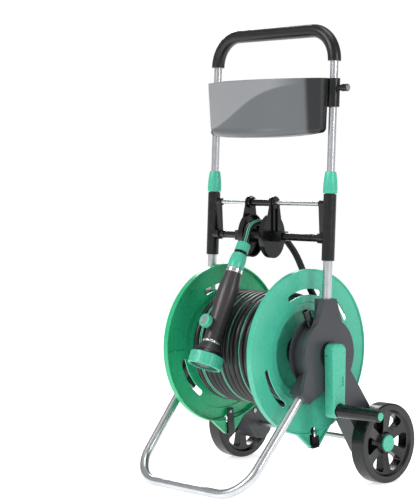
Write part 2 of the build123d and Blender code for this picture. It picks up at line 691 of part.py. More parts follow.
with BuildPart() as flange:
    with BuildSketch(radial_plane()):
        with BuildLine():
            Polyline(
                (flange_in_x, flange_r),
                (flange_out_x, flange_r),
                (flange_out_x, flange_r - 3.0),
                (flange_out_x - 2.5, flange_r - 4.5),
                (flange_out_x - 6.5, recess_r),
                (flange_in_x + 4.2, recess_r - 2.0),
                (flange_in_x + 2.0, cup_r - cup_wall),
                (cup_floor_x + web, cup_r - cup_wall),
                (cup_floor_x + web, journal_r),
                (cup_floor_x, journal_r),
                (cup_floor_x, cup_r),
                (flange_in_x, cup_r),
                (flange_in_x, barrel_r + 3.0),
                (flange_out_x - 9.6, recess_r + 1.0),
                (flange_out_x - 5.5, flange_r - 4.5),
                (flange_in_x, flange_r - 3.2),
                close=True,
            )
        make_face()
    revolve(axis=axis_line)
    fillet(flange.edges().filter_by(GeomType.CIRCLE).sort_by(SortBy.RADIUS)[-2:], 1.0)
    # V-shaped tab at the bottom, notched for the hose clip
    with BuildSketch(drum_plane(flange_out_x - 8.5)):
        with BuildLine():
            Polyline(
                (-tab_root_half, -tab_root_r),
                (-tab_half, -tab_r),
                (tab_half, -tab_r),
                (tab_root_half, -tab_root_r),
                close=True,
            )
        make_face()
    extrude(amount=4.0)
    with BuildSketch(drum_plane(flange_out_x - 8.5)):
        with BuildLine():
            Polyline(
                (-tab_root_half, -tab_root_r),
                (-tab_half, -tab_r),
                (-tab_half + 1.0, -tab_r + 5.0),
                (-tab_root_half + 5.0, -tab_root_r),
                close=True,
            )
        make_face()
        mirror(about=Plane.YZ)
    extrude(amount=8.5)
    # pad behind the clip, with its rivet's hole
    with BuildSketch(drum_plane(flange_in_x + 2.4)):
        with Locations((0, -rivet_at - 2.0)):
            Rectangle(2 * clip_half, 16.0)
    extrude(amount=6.0)
    with BuildSketch(drum_plane(flange_in_x - 1.0)):
        with Locations((0, -rivet_at)):
            Circle(rivet_r)
    extrude(amount=8.0, mode=Mode.SUBTRACT)
    with BuildSketch(drum_plane(flange_in_x - 1.0)):
        with Locations((0, -notch_in_r - 20.0)):
            Rectangle(2 * notch_half, 40.0)
        with Locations((0, -notch_in_r)):
            Circle(notch_half)
    extrude(amount=20.0, mode=Mode.SUBTRACT)
    # long slots through the web
    with BuildSketch(drum_plane(flange_in_x - 1.0)):
        add(flange_slots.sketch)
    extrude(amount=20.0, mode=Mode.SUBTRACT)
    # shallow sunk sectors on the inner face, with raised rings between them
    for start in (-28.0, 92.0 + 30.0, 212.0 + 30.0):
        for low, high in ((recess_r + 13.0, ring_mid_r - 3.0), (ring_mid_r + 3.0, flange_r - 7.0)):
            slope = (4.1) / (flange_r - 4.5 - recess_r - 1.0)
            low_x = flange_out_x - 9.6 + slope * (low - recess_r - 1.0)
            high_x = flange_out_x - 9.6 + slope * (high - recess_r - 1.0)
            with BuildSketch(radial_plane(start)):
                with BuildLine():
                    Polyline(
                        (low_x - 2.0, low),
                        (low_x + recess_deep, low),
                        (high_x + recess_deep, high),
                        (high_x - 2.0, high),
                        close=True,
                    )
                make_face()
            revolve(axis=axis_line, revolution_arc=56.0, mode=Mode.SUBTRACT)
save_pair(flange.part, "flange")

with BuildPart() as clip:
    with BuildSketch(Plane(origin=(0, 0, reel_z), x_dir=(1, 0, 0), z_dir=(0, -cos(turn), -sin(turn)))):
        with BuildLine():
            Polyline(
                (flange_in_x - 0.4, -rivet_at + 6.0),
                (flange_in_x - 0.4, -tab_r - 2.0),
                (flange_out_x + 3.0, -tab_r - 2.0),
                (flange_out_x + 3.0, -tab_r + 22.0),
                (flange_out_x, -tab_r + 22.0),
                (flange_out_x, -tab_r + 1.0),
                (flange_in_x + 2.4, -tab_r + 1.0),
                (flange_in_x + 2.4, -rivet_at + 6.0),
                close=True,
            )
        make_face()
    extrude(amount=clip_half, both=True)
    fillet(clip.edges().filter_by(lambda edge: abs(edge.length - 2 * clip_half) < 0.01), 1.2)
    with BuildSketch(drum_plane(flange_in_x - 2.0)):
        with Locations((0, -rivet_at)):
            Circle(rivet_r)
    extrude(amount=6.0, mode=Mode.SUBTRACT)
save_pair(clip.part, "hose_clip")

with BuildPart() as clip_rivet:
    with BuildSketch(drum_plane(flange_in_x - 1.8)):
        with Locations((0, -rivet_at)):
            Circle(3.2)
    extrude(amount=1.4)
    fillet(clip_rivet.edges().sort_by(Axis.X)[0], 0.8)
    with BuildSketch(drum_plane(flange_in_x - 0.4)):
        with Locations((0, -rivet_at)):
            Circle(rivet_r)
    extrude(amount=6.4)
    mirror(about=Plane.YZ)
save(clip_rivet.part, "clip_rivets")

drive_half = 11.0
drive_len = 10.0
seal_half = 1.6
seal_deep = 2.6
seal_step = 8.0  # from the inlet's middle to each seal's
dowel_r = 2.0
dowel_x = crank_in_x + drive_len / 2
with BuildPart() as journal:
    with BuildSketch(side_plane(cup_floor_x)):
        Circle(journal_r)
    extrude(amount=crank_in_x - cup_floor_x)
    with BuildSketch(side_plane(cup_floor_x + web)):
        Circle(34.0)
    extrude(amount=4.0)
    with BuildSketch(side_plane(crank_in_x)):
        Rectangle(2 * drive_half, 2 * drive_half)
    extrude(amount=drive_len)
    with BuildSketch(side_plane(cup_floor_x)):
        Circle(11.0)
    extrude(amount=crank_in_x - cup_floor_x - 20.0, mode=Mode.SUBTRACT)
    for seal_x in (inlet_x - seal_step, inlet_x + seal_step):
        with BuildSketch(side_plane(seal_x - seal_half)):
            Circle(journal_r + 1.0)
            Circle(journal_r - seal_deep, mode=Mode.SUBTRACT)
        extrude(amount=2 * seal_half, mode=Mode.SUBTRACT)
    with BuildSketch(inlet_plane(0.0)):
        Circle(inlet_bore_r)
    extrude(amount=journal_r + 5.0, mode=Mode.SUBTRACT)
    with BuildSketch(Plane(origin=(dowel_x, 0, reel_z), x_dir=(1, 0, 0), z_dir=(0, -1, 0))):
        Circle(dowel_r)
    extrude(amount=30.0, both=True, mode=Mode.SUBTRACT)
save(journal.part, "crank_journal")

with BuildPart() as seals:
    for seal_x in (inlet_x - seal_step, inlet_x + seal_step):
        with BuildSketch(side_plane(seal_x - seal_half)):
            Circle(journal_r)
            Circle(journal_r - seal_deep, mode=Mode.SUBTRACT)
        extrude(amount=2 * seal_half)
save(seals.part, "shaft_seals")

# Elbow that takes the water from the journal to the hose's inner end.
with BuildPart() as elbow:
    with BuildSketch(side_plane(outlet_x - 10.0)):
        Circle(14.0)
    extrude(amount=cup_floor_x - outlet_x + 10.0)
    with BuildSketch(Plane(origin=(outlet_x, 0, reel_z), z_dir=(0, 0, 1))):
        Circle(hose_r + 0.5)
    extrude(amount=barrel_r - barrel_wall - 2.0)
    with BuildSketch(side_plane(outlet_x - 5.0)):
        Circle(8.0)
    extrude(amount=40.0, mode=Mode.SUBTRACT)
    with BuildSketch(Plane(origin=(outlet_x, 0, reel_z), z_dir=(0, 0, 1))):
        Circle(inlet_bore_r)
    extrude(amount=barrel_r, mode=Mode.SUBTRACT)
save(elbow.part, "drum_elbow")

with BuildPart() as left_journal:
    with BuildSketch(side_plane(-bracket_out_x - 1.2)):
        Circle(journal_r)
    extrude(amount=bracket_out_x + 1.2 - cup_floor_x)
    with BuildSketch(side_plane(-cup_floor_x - web - 4.0)):
        Circle(34.0)
    extrude(amount=4.0)
    with BuildSketch(side_plane(-bracket_out_x + 6.0)):
        Circle(14.0)
    extrude(amount=bracket_out_x - cup_floor_x, mode=Mode.SUBTRACT)
save(left_journal.part, "left_journal")

# Crank: a tapering arm on the journal's square end, a pin, and a grip that turns on the pin.
arm_top = 23.0
arm_top_half = 19.5
arm_low_half = 16.5
pin_r = 4.0
grip_z = reel_z - crank_reach
recess_grip_r = crank_grip_r + 1.3
with BuildPart() as crank_arm:
    with BuildSketch(side_plane(crank_in_x)):
        with BuildLine():
            Polyline(
                (-arm_top_half, arm_top),
                (arm_top_half, arm_top),
                (arm_low_half, -crank_reach - 15.0),
                (-arm_low_half, -crank_reach - 15.0),
                close=True,
            )
        make_face()
        fillet(vertices().group_by(Axis.Y)[-1], 14.0)
        fillet(vertices().group_by(Axis.Y)[0], 10.0)
    extrude(amount=crank_thick)
    fillet(crank_arm.faces().sort_by(Axis.X)[-1].edges(), 5.0)
    # small pull recess on the outer face
    with BuildSketch(side_plane(crank_out_x)):
        with Locations((3.0, -52.0)):
            Rectangle(13.0, 19.0)
    extrude(amount=-1.6, mode=Mode.SUBTRACT)
    with BuildSketch(side_plane(crank_in_x)):
        Rectangle(2 * drive_half, 2 * drive_half)
    extrude(amount=drive_len, mode=Mode.SUBTRACT)
    with BuildSketch(Plane(origin=(dowel_x, 14.0, reel_z), x_dir=(1, 0, 0), z_dir=(0, -1, 0))):
        Circle(dowel_r)
    extrude(amount=40.0, mode=Mode.SUBTRACT)
    with BuildSketch(side_plane(grip_start_x, 0, grip_z)):
        Circle(recess_grip_r)
    extrude(amount=crank_thick, mode=Mode.SUBTRACT)
    with BuildSketch(side_plane(crank_in_x - 1.0, 0, grip_z)):
        Circle(pin_r)
    extrude(amount=crank_thick, mode=Mode.SUBTRACT)
save(crank_arm.part, "crank_arm")

with BuildPart() as dowel:
    with BuildSketch(Plane(origin=(dowel_x, 14.0, reel_z), x_dir=(1, 0, 0), z_dir=(0, -1, 0))):
        Circle(dowel_r)
    extrude(amount=30.0)
save(dowel.part, "crank_dowel")

with BuildPart() as crank_pin:
    with BuildSketch(side_plane(crank_in_x + 1.0, 0, grip_z)):
        Circle(pin_r)
    extrude(amount=grip_end_x - crank_in_x - 6.0)
    with BuildSketch(side_plane(grip_end_x - 6.0, 0, grip_z)):
        Circle(pin_r + 2.2)
    extrude(amount=2.0)
save(crank_pin.part, "crank_pin")

with BuildPart() as crank_grip:
    with BuildSketch(Plane(origin=(0, 0, grip_z), x_dir=(1, 0, 0), z_dir=(0, -1, 0))):
        with BuildLine():
            Polyline(
                (grip_start_x + 0.4, pin_r + running),
                (grip_start_x + 0.4, crank_grip_r - 1.0),
                (grip_start_x + 2.0, crank_grip_r),
                (grip_start_x + 50.0, crank_grip_r - 0.8),
                (grip_end_x - 2.0, crank_grip_r - 2.2),
                (grip_end_x, crank_grip_r - 4.0),
                (grip_end_x, 8.0),
                (grip_end_x - 8.0, 8.0),
                (grip_end_x - 8.0, pin_r + running),
                close=True,
            )
        make_face()
    revolve(axis=Axis((0, 0, grip_z), (1, 0, 0)))
save(crank_grip.part, "crank_grip")

with BuildPart() as grip_cap:
    with BuildSketch(side_plane(grip_end_x - 3.0, 0, grip_z)):
        Circle(8.0)
    extrude(amount=5.0)
    fillet(grip_cap.edges().filter_by(GeomType.CIRCLE).sort_by(Axis.X)[-1], 1.4)
save(grip_cap.part, "grip_cap")

# ---------------------------------------------------------------- water inlet
inlet_collar_r = 9.5
inlet_tail_r = 8.0
inlet_tail_at = hub_r + 14.0
inlet_tail_len = 22.0
with BuildPart() as inlet:
    with BuildSketch(inlet_plane(hub_r - 4.0)):
        Circle(inlet_base_r)
    extrude(amount=12.0)
    with BuildSketch(inlet_plane(hub_r + 6.0)):
        Circle(inlet_collar_r)
    extrude(amount=inlet_tail_at - hub_r - 6.0)
    with BuildSketch(inlet_plane(inlet_tail_at)):
        Circle(inlet_tail_r)
    extrude(amount=inlet_tail_len)
    with BuildSketch(inlet_plane(hub_r - 5.0)):
        Circle(inlet_bore_r)
    extrude(amount=45.0, mode=Mode.SUBTRACT)
save(inlet.part, "water_inlet")

# ---------------------------------------------------------------- hose guide
spacer_r = 7.4
cheek_gap = 68.0  # between the cheeks' plates
cheek_plate = 3.5
dish_depth = 10.0
bar_y = tube_y(bar_z)
rod_y = tube_y(rod_z)
lobe_r = 14.0
lobe_y = rod_y - bar_y
neck_z = cross_pitch - 2.0
waist_y = 0.62 * guide_half
waist_z = 0.62 * neck_z
rim_thick = 2.6
with BuildPart() as cheek:
    # an egg-shaped plate round both cross members, with a dished rim towards the middle of the guide
    with BuildSketch(side_plane(cheek_gap / 2, bar_y, bar_z)):
        Ellipse(guide_half, guide_disc_r)
        with Locations((lobe_y, cross_pitch)):
            Circle(lobe_r)
        with BuildLine():
            Line((-0.9 * guide_half, 0), (0.9 * guide_half, 0))
            ThreePointArc((0.9 * guide_half, 0), (waist_y, waist_z), (lobe_y + lobe_r - 0.4, neck_z))
            Line((lobe_y + lobe_r - 0.4, neck_z), (lobe_y - lobe_r + 0.4, neck_z))
            far_waist = (lobe_y - waist_y, waist_z)
            ThreePointArc((lobe_y - lobe_r + 0.4, neck_z), far_waist, (-0.9 * guide_half, 0))
        make_face()
    extrude(amount=cheek_plate)
    with BuildSketch(side_plane(cheek_gap / 2 - dish_depth, bar_y, bar_z)):
        Ellipse(guide_half, guide_disc_r)
        Ellipse(guide_half - rim_thick, guide_disc_r - rim_thick, mode=Mode.SUBTRACT)
    extrude(amount=dish_depth)
    with BuildSketch(side_plane(cheek_gap / 2 - 6.0, rod_y, rod_z)):
        Circle(lobe_r - 2.0)
    extrude(amount=cheek_plate + 9.0)
    # collar on the lower bar and two stiffening ribs on the outer face
    with BuildSketch(side_plane(cheek_gap / 2 + cheek_plate, bar_y, bar_z)):
        Rectangle(2 * bar_r + 7.0, 2 * bar_r + 5.0)
    extrude(amount=30.0)
    with BuildSketch(side_plane(cheek_gap / 2 + cheek_plate, 0, 0)):
        for shift in (-7.0, 6.0):
            with Locations((rod_y + shift - 1.0, (rod_z + bar_z) / 2)):
                Rectangle(2.4, rod_z - bar_z)
    extrude(amount=4.0)
    with BuildSketch(side_plane(0, rod_y, rod_z)):
        Circle(rod_r + slip)
    extrude(amount=90.0, mode=Mode.SUBTRACT)
    with BuildSketch(side_plane(0, bar_y, bar_z)):
        Circle(bar_r + slip)
    extrude(amount=90.0, mode=Mode.SUBTRACT)
save(cheek.part.moved(Location((guide_x, 0, 0))), "guide_cheek_right")
save(mirror(cheek.part, about=Plane.YZ).moved(Location((guide_x, 0, 0))), "guide_cheek_left")

with BuildPart() as spacer:
    with BuildSketch(side_plane(guide_x - cheek_gap / 2 + 6.0, rod_y, rod_z)):
        Circle(spacer_r)
        Circle(rod_r + slip, mode=Mode.SUBTRACT)
    extrude(amount=cheek_gap - 12.0)
save(spacer.part, "guide_spacer")

with BuildPart() as roller:
    with BuildSketch(Plane(origin=(guide_x, bar_y, bar_z), x_dir=(1, 0, 0), z_dir=(0, -1, 0))):
        half = cheek_gap / 2 - 0.6
        with BuildLine():
            Polyline((-half, bar_r + slip), (-half, roller_r + 3.0), (-half + 4.0, roller_r + 3.0))
            ThreePointArc((-half + 4.0, roller_r + 3.0), (0, roller_r), (half - 4.0, roller_r + 3.0))
            Polyline((half - 4.0, roller_r + 3.0), (half, roller_r + 3.0), (half, bar_r + slip))
            Line((half, bar_r + slip), (-half, bar_r + slip))
        make_face()
    revolve(axis=Axis((0, bar_y, bar_z), (1, 0, 0)))
save(roller.part, "guide_roller")

# ---------------------------------------------------------------- hose
winding_half = flange_in_x - 0.8
with BuildPart() as winding:
    with BuildSketch(radial_plane()):
        with BuildLine():
            Polyline(
                (-winding_half, barrel_r + 0.05),
                (-winding_half, winding_r),
                (turns_end_x, winding_r),
                (turns_end_x, inner_layer_r + hose_r),
                (winding_half, inner_layer_r + hose_r),
                (winding_half, barrel_r + 0.05),
                close=True,
            )
        make_face()
    revolve(axis=axis_line)
save(winding.part, "hose_winding")

# Route of the lead, from the top of the winding over the guide's roller to the connector.
lead_points = [
    (63.0, 113.4, 331.9),
    (60.0, 97.0, 365.5),
    (52.0, 81.0, 398.0),
    (39.0, 74.0, 436.0),
    (20.0, 74.0, 468.0),
    (-3.0, 70.0, 495.0),
    (-15.0, 53.0, 519.0),
    (-22.0, 26.0, 533.5),
    (-24.0, -3.0, 535.5),
    (-20.5, -28.0, 525.0),
    (-9.0, -44.1, 506.4),
    (-7.0, -56.0, 488.0),
]


def bend_radii(points):
    """Radius of the arc at each inner point: 0.45 of the shorter run over the tangent of half the turn."""
    radii = []
    for before, here, after in zip(points, points[1:], points[2:]):
        first = Vector(here) - Vector(before)
        second = Vector(after) - Vector(here)
        half_turn = radians(first.get_angle(second)) / 2
        radii.append(0.45 * min(first.length, second.length) / tan(half_turn))
    return radii


lead_radii = bend_radii(lead_points)
print("lead bend radii", [round(r, 1) for r in lead_radii])
with BuildPart() as lead:
    with BuildLine() as lead_path:
        FilletPolyline(*lead_points, radius=lead_radii)
    lead_dir = Vector(lead_points[1]) - Vector(lead_points[0])
    with BuildSketch(Plane(origin=lead_points[0], z_dir=lead_dir)):
        Circle(hose_r)
    sweep()
save(lead.part, "hose_lead")
lead_length = sum(edge.length for edge in lead_path.edges())
lead_volume = lead_length * pi * hose_r**2
print("lead length", round(lead_length, 1), "volume ratio", round(lead.part.volume / lead_volume, 4))

# ---------------------------------------------------------------- connector and spray gun
lead_end = Vector(lead_points[-1])
gun_top = Vector(-2.0, -85.0, 443.0)
fit_dir = (gun_top - lead_end).normalized()
gun_dir = Vector(0, -0.414, -0.910).normalized()
gun_front = Vector(0, gun_dir.Z, -gun_dir.Y).normalized()
fit_len = (gun_top - lead_end).length


def fitting_plane(distance):
    """Plane across the connector at a distance below the hose's end."""
    return Plane(origin=lead_end + fit_dir * distance, x_dir=(1, 0, 0), z_dir=fit_dir)


def gun_plane(distance):
    """Plane across the gun at a distance below its inlet: its own y points to the back of the gun."""
    return Plane(origin=gun_top + gun_dir * distance, x_dir=(1, 0, 0), z_dir=gun_dir)


nut_len = 15.0
ring_len = 7.0  # between the nut and the release sleeve
sleeve_travel = 4.0
core_r = hose_r + 5.6
nut_r = hose_r + 7.4
hose_in_nut = 5.0
with BuildPart() as hose_nut:
    with BuildSketch(fitting_plane(-hose_in_nut)):
        Circle(nut_r)
    extrude(amount=nut_len + hose_in_nut)
    fillet(hose_nut.edges().filter_by(GeomType.CIRCLE), 1.6)
    with BuildSketch(fitting_plane(-hose_in_nut - 3.0)):
        Circle(hose_r)
    extrude(amount=hose_in_nut + 3.0, mode=Mode.SUBTRACT)
    with BuildSketch(fitting_plane(-hose_in_nut + 3.0)):
        with PolarLocations(nut_r + 0.8, 12):
            Circle(1.6)
    extrude(amount=nut_len + hose_in_nut - 6.0, mode=Mode.SUBTRACT)
save(hose_nut.part, "connector_nut")

with BuildPart() as coupler_core:
    with BuildSketch(fitting_plane(nut_len)):
        Circle(core_r)
    extrude(amount=fit_len - nut_len + 3.0)
    with BuildSketch(fitting_plane(nut_len)):
        Circle(core_r + 1.4)
    extrude(amount=ring_len - sleeve_travel - 0.3)
    with BuildSketch(gun_plane(0.0)):
        Circle(25.0)
    extrude(amount=12.0, mode=Mode.SUBTRACT)
save(coupler_core.part, "connector_core")

# Release sleeve: it slides towards the nut on the core.
with BuildPart() as coupler:
    with BuildSketch(fitting_plane(nut_len + ring_len)):
        Circle(core_r + 2.6)
    with BuildSketch(fitting_plane((nut_len + ring_len + fit_len) / 2)):
        Circle(core_r + 4.6)
    with BuildSketch(fitting_plane(fit_len + 3.0)):
        Circle(core_r + 3.2)
    loft()
    with BuildSketch(gun_plane(-0.3)):
        Circle(25.0)
    extrude(amount=12.0, mode=Mode.SUBTRACT)
    with BuildSketch(fitting_plane(nut_len)):
        Circle(core_r + slip)
    extrude(amount=60.0, mode=Mode.SUBTRACT)
save(coupler.part, "connector_sleeve")

neck_len = 10.0
neck_r = 17.0
knob_at = 127.0
head_at = 163.0
head_r = 18.0
bezel_at = 188.0
bezel_len = 26.0
bezel_r = 35.0
with BuildPart() as gun_neck:
    with BuildSketch(gun_plane(0.0)):
        Circle(neck_r)
    extrude(amount=neck_len)
    fillet(gun_neck.edges().filter_by(GeomType.CIRCLE), 1.5)
save(gun_neck.part, "gun_neck_ring")

with BuildPart() as gun_body:
    for distance, across, deep in (
        (neck_len, 17.5, 17.0),
        (32.0, 20.5, 19.5),
        (62.0, 22.0, 20.5),
        (100.0, 20.0, 19.0),
        (125.0, 19.0, 18.2),
        (150.0, 18.5, 17.8),
        (head_at, head_r, head_r),
    ):
        with BuildSketch(gun_plane(distance)):
            Ellipse(across, deep)
    loft()
    with BuildSketch(gun_plane(head_at)):
        Circle(head_r)
    with BuildSketch(gun_plane(bezel_at)):
        Circle(bezel_r - 2.0)
    loft()
    # stem of the flow knob, on the front of the handle
    with BuildSketch(Plane(origin=gun_top + gun_dir * knob_at, x_dir=(1, 0, 0), z_dir=gun_front)):
        Circle(8.0)
    extrude(amount=27.0)
save(gun_body.part, "gun_body")

with BuildPart() as knob:
    with BuildSketch(
        Plane(origin=gun_top + gun_dir * knob_at + gun_front * 27.2, x_dir=(1, 0, 0), z_dir=gun_front)
    ):
        Circle(13.6)
    extrude(amount=12.0)
    fillet(knob.edges().filter_by(GeomType.CIRCLE), 1.5)
save(knob.part, "gun_flow_knob")

with BuildPart() as bezel:
    with BuildSketch(gun_plane(bezel_at + 0.3)):
        Circle(bezel_r)
    extrude(amount=bezel_len)
    fillet(bezel.edges().filter_by(GeomType.CIRCLE), 2.0)
    with BuildSketch(gun_plane(bezel_at + bezel_len - 5.0)):
        Circle(bezel_r - 5.0)
    extrude(amount=6.0, mode=Mode.SUBTRACT)
    with BuildSketch(gun_plane(bezel_at + 5.0)):
        with PolarLocations(bezel_r + 1.2, 24):
            Circle(1.9)
    extrude(amount=bezel_len - 10.0, mode=Mode.SUBTRACT)
save(bezel.part, "gun_bezel")

with BuildPart() as rose:
    with BuildSketch(gun_plane(bezel_at + bezel_len - 5.0)):
        Circle(bezel_r - 5.3)
        with PolarLocations(14.0, 8):
            Circle(2.2, mode=Mode.SUBTRACT)
        with PolarLocations(23.0, 16):
            Circle(1.4, mode=Mode.SUBTRACT)
    extrude(amount=3.2)
save(rose.part, "gun_rose")
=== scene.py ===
"""Visual model of a garden hose reel cart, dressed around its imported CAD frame. Metres, +Z up."""

import math

import bpy
import numpy as np
from mathutils import Matrix, Vector


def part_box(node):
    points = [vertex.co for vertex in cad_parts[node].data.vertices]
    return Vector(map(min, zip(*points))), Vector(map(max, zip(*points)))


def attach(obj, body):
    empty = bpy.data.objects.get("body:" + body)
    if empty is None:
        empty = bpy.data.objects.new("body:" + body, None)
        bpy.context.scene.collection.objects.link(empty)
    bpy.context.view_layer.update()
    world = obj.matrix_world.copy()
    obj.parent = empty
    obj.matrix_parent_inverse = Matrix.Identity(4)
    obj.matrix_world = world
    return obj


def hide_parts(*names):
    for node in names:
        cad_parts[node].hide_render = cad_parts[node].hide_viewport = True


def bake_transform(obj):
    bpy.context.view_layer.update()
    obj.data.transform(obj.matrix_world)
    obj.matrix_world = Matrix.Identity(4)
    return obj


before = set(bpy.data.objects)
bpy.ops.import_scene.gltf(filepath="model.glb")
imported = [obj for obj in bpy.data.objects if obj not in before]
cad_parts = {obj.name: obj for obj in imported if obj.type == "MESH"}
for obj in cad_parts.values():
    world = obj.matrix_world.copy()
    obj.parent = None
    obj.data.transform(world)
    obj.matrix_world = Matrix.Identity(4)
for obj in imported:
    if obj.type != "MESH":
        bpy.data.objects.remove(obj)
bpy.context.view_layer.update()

MM = 0.001
drum_low, drum_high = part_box("drum_barrel")
DRUM = (np.array(drum_low) + np.array(drum_high)) / 2.0
GROUND = np.array([DRUM[0], DRUM[1], 0.0])  # the ground below the drum's middle
REEL_Z = 274.0  # height of the drum's axis


def at(x, y, z):
    """Point in the frame of a place given in millimetres from the drum's middle (x, y) and the ground (z)."""
    return GROUND + np.array([x, y, z]) * MM


def at_rows(places):
    """Points in the frame of rows of such places."""
    return GROUND + places * MM


def tube_y(z):
    """How far back the leaning uprights' axes are at a height."""
    return 2.0 + 0.046 * (z - REEL_Z)


def smooth(value, low, high):
    """Smooth step from 0 to 1 as a value goes from low to high."""
    share = np.clip((value - low) / (high - low), 0.0, 1.0)
    return share * share * (3.0 - 2.0 * share)


def linear(code):
    """Linear RGBA of an sRGB hex colour."""
    parts = [int(code[i : i + 2], 16) / 255.0 for i in (1, 3, 5)]
    return tuple(c / 12.92 if c <= 0.04045 else ((c + 0.055) / 1.055) ** 2.4 for c in parts) + (1.0,)


def add_node(tree, kind, settings=None, inputs=None, links=None):
    """Adds a node with its properties, its socket values and the sockets linked to it."""
    made = tree.nodes.new(kind)
    for key, value in (settings or {}).items():
        setattr(made, key, value)
    for key, value in (inputs or {}).items():
        made.inputs[key].default_value = value
    for key, source in (links or {}).items():
        tree.links.new(source, made.inputs[key])
    return made


# ------------------------------------------------------------------ camera and light
CAMERA_AZIMUTH = math.radians(46.4796)
CAMERA_ELEVATION = math.radians(3.093)
CAMERA_ROLL = math.radians(-0.13996)
CAMERA_TARGET = (-176.95, 0.0, 471.449)
CAMERA_DISTANCE = 3.51201
FOCAL_PER_SIDE = 3.23906  # focal length over the picture's long side
SENSOR = 36.0
SIDE_SHIFT = 0.004546
VIEW_DEPTH = 100.0

LIGHTS = {  # name: (place, side of the soft box, watts)
    "key": ((-0.9, -3.1, 2.6), 1.5, 66.0),
    "side": ((3.1, 0.1, 1.5), 0.9, 26.0),
    "rim": ((-2.4, 1.6, 1.9), 1.0, 34.0),
    "top": ((0.3, 0.2, 3.4), 1.6, 30.0),
}
LIT_HEIGHT = 450.0
OPEN_SIDE = (0.72, -0.69, 0.10)  # towards the open front of the studio
AMBIENT_BACK = 0.34  # the room's own light from behind the cart
AMBIENT_FRONT = 0.46  # and from its open front


def make_camera():
    """Camera looking back along a direction given by azimuth and elevation, rolled a little."""
    back = Vector(
        (
            math.sin(CAMERA_AZIMUTH) * math.cos(CAMERA_ELEVATION),
            -math.cos(CAMERA_AZIMUTH) * math.cos(CAMERA_ELEVATION),
            math.sin(CAMERA_ELEVATION),
        )
    )
    side = Vector((0, 0, 1)).cross(back).normalized()
    up = back.cross(side)
    right = math.cos(CAMERA_ROLL) * side + math.sin(CAMERA_ROLL) * up
    upright = -math.sin(CAMERA_ROLL) * side + math.cos(CAMERA_ROLL) * up
    data = bpy.data.cameras.new("camera")
    data.sensor_width = SENSOR
    data.lens = SENSOR * FOCAL_PER_SIDE
    data.shift_x = SIDE_SHIFT
    data.clip_end = VIEW_DEPTH
    camera = bpy.data.objects.new("camera", data)
    bpy.context.collection.objects.link(camera)
    place = Vector(at(*CAMERA_TARGET)) + CAMERA_DISTANCE * back
    rotation = Matrix((right, upright, back)).transposed().to_4x4()
    camera.matrix_world = Matrix.Translation(place) @ rotation
    bpy.context.scene.camera = camera


def area_light(name, place, target, size, power):
    """Square soft box at a place, aimed at a target."""
    data = bpy.data.lights.new(name, "AREA")
    data.shape = "SQUARE"
    data.size = size
    data.energy = power
    lamp = bpy.data.objects.new(name, data)
    bpy.context.collection.objects.link(lamp)
    lamp.location = place
    lamp.rotation_mode = "QUATERNION"
    lamp.rotation_quaternion = (Vector(target) - Vector(place)).to_track_quat("-Z", "Y")


make_camera()
for light_name, (place, size, power) in LIGHTS.items():
    area_light(light_name, place, at(0, 0, LIT_HEIGHT), size, power)

# The room is white where the camera sees it. It lights the cart more from its open front than from behind.
world = bpy.data.worlds.new("studio")
bpy.context.scene.world = world
world.use_nodes = True
sky = world.node_tree
lit = sky.nodes["Background"]
lit.inputs["Color"].default_value = (1.0, 1.0, 1.0, 1.0)
toward = add_node(sky, "ShaderNodeTexCoord").outputs["Generated"]
facing = add_node(sky, "ShaderNodeVectorMath", {"operation": "DOT_PRODUCT"}, {1: OPEN_SIDE}, {0: toward})
strengths = {1: -0.8, 2: 0.8, 3: AMBIENT_BACK, 4: AMBIENT_FRONT}
level = add_node(sky, "ShaderNodeMapRange", None, strengths, {0: facing.outputs["Value"]})
sky.links.new(level.outputs[0], lit.inputs["Strength"])
shown = add_node(sky, "ShaderNodeBackground", None, {"Color": (1.0, 1.0, 1.0, 1.0)})
path = add_node(sky, "ShaderNodeLightPath")
choose = add_node(
    sky, "ShaderNodeMixShader", links={0: path.outputs["Is Camera Ray"], 1: lit.outputs[0], 2: shown.outputs[0]}
)
sky.links.new(choose.outputs[0], sky.nodes["World Output"].inputs["Surface"])
bpy.context.scene.view_settings.view_transform = "Standard"


# ------------------------------------------------------------------ materials
PLASTIC_IOR = 1.5
PVC_IOR = 1.53
CLOUD_LOW, CLOUD_HIGH = 0.3, 0.7  # the part of a noise pattern's range that most of it lies in
FLOW_MM = 71.4  # between one flow mark and the next in a moulding
WEAR_MM = 16.7  # between patches worn to another gloss
METAL_CLOUD_MM = 40.0  # between patches of another tone in a metal
DRAW_LINE_MM = 0.8  # between drawing lines, coarser than real ones so that they show
DRAW_STRETCH = 0.04  # share that the pattern keeps of its pitch along the work
HOSE_WEAR_MM = 11.1
HOSE_SKIN_MM = 1.1  # pits in the extruded skin
TUB_FLOW_MM = 83.3
TUB_GRAIN_MM = 1.4
STRIPE_TWIST = 0.34  # turns of the stripes round the hose for each metre along it
STRIPE_MARKS = ((0.0, 0), (0.44, 1), (0.475, 0), (0.525, 1), (0.56, 0))  # turn where each value starts


def start_material(name):
    """Empty material with its shader, and the Object coordinates that its patterns read."""
    material = bpy.data.materials.new(name)
    material.use_nodes = True
    tree = material.node_tree
    place = add_node(tree, "ShaderNodeTexCoord").outputs["Object"]
    return material, tree, tree.nodes["Principled BSDF"], place


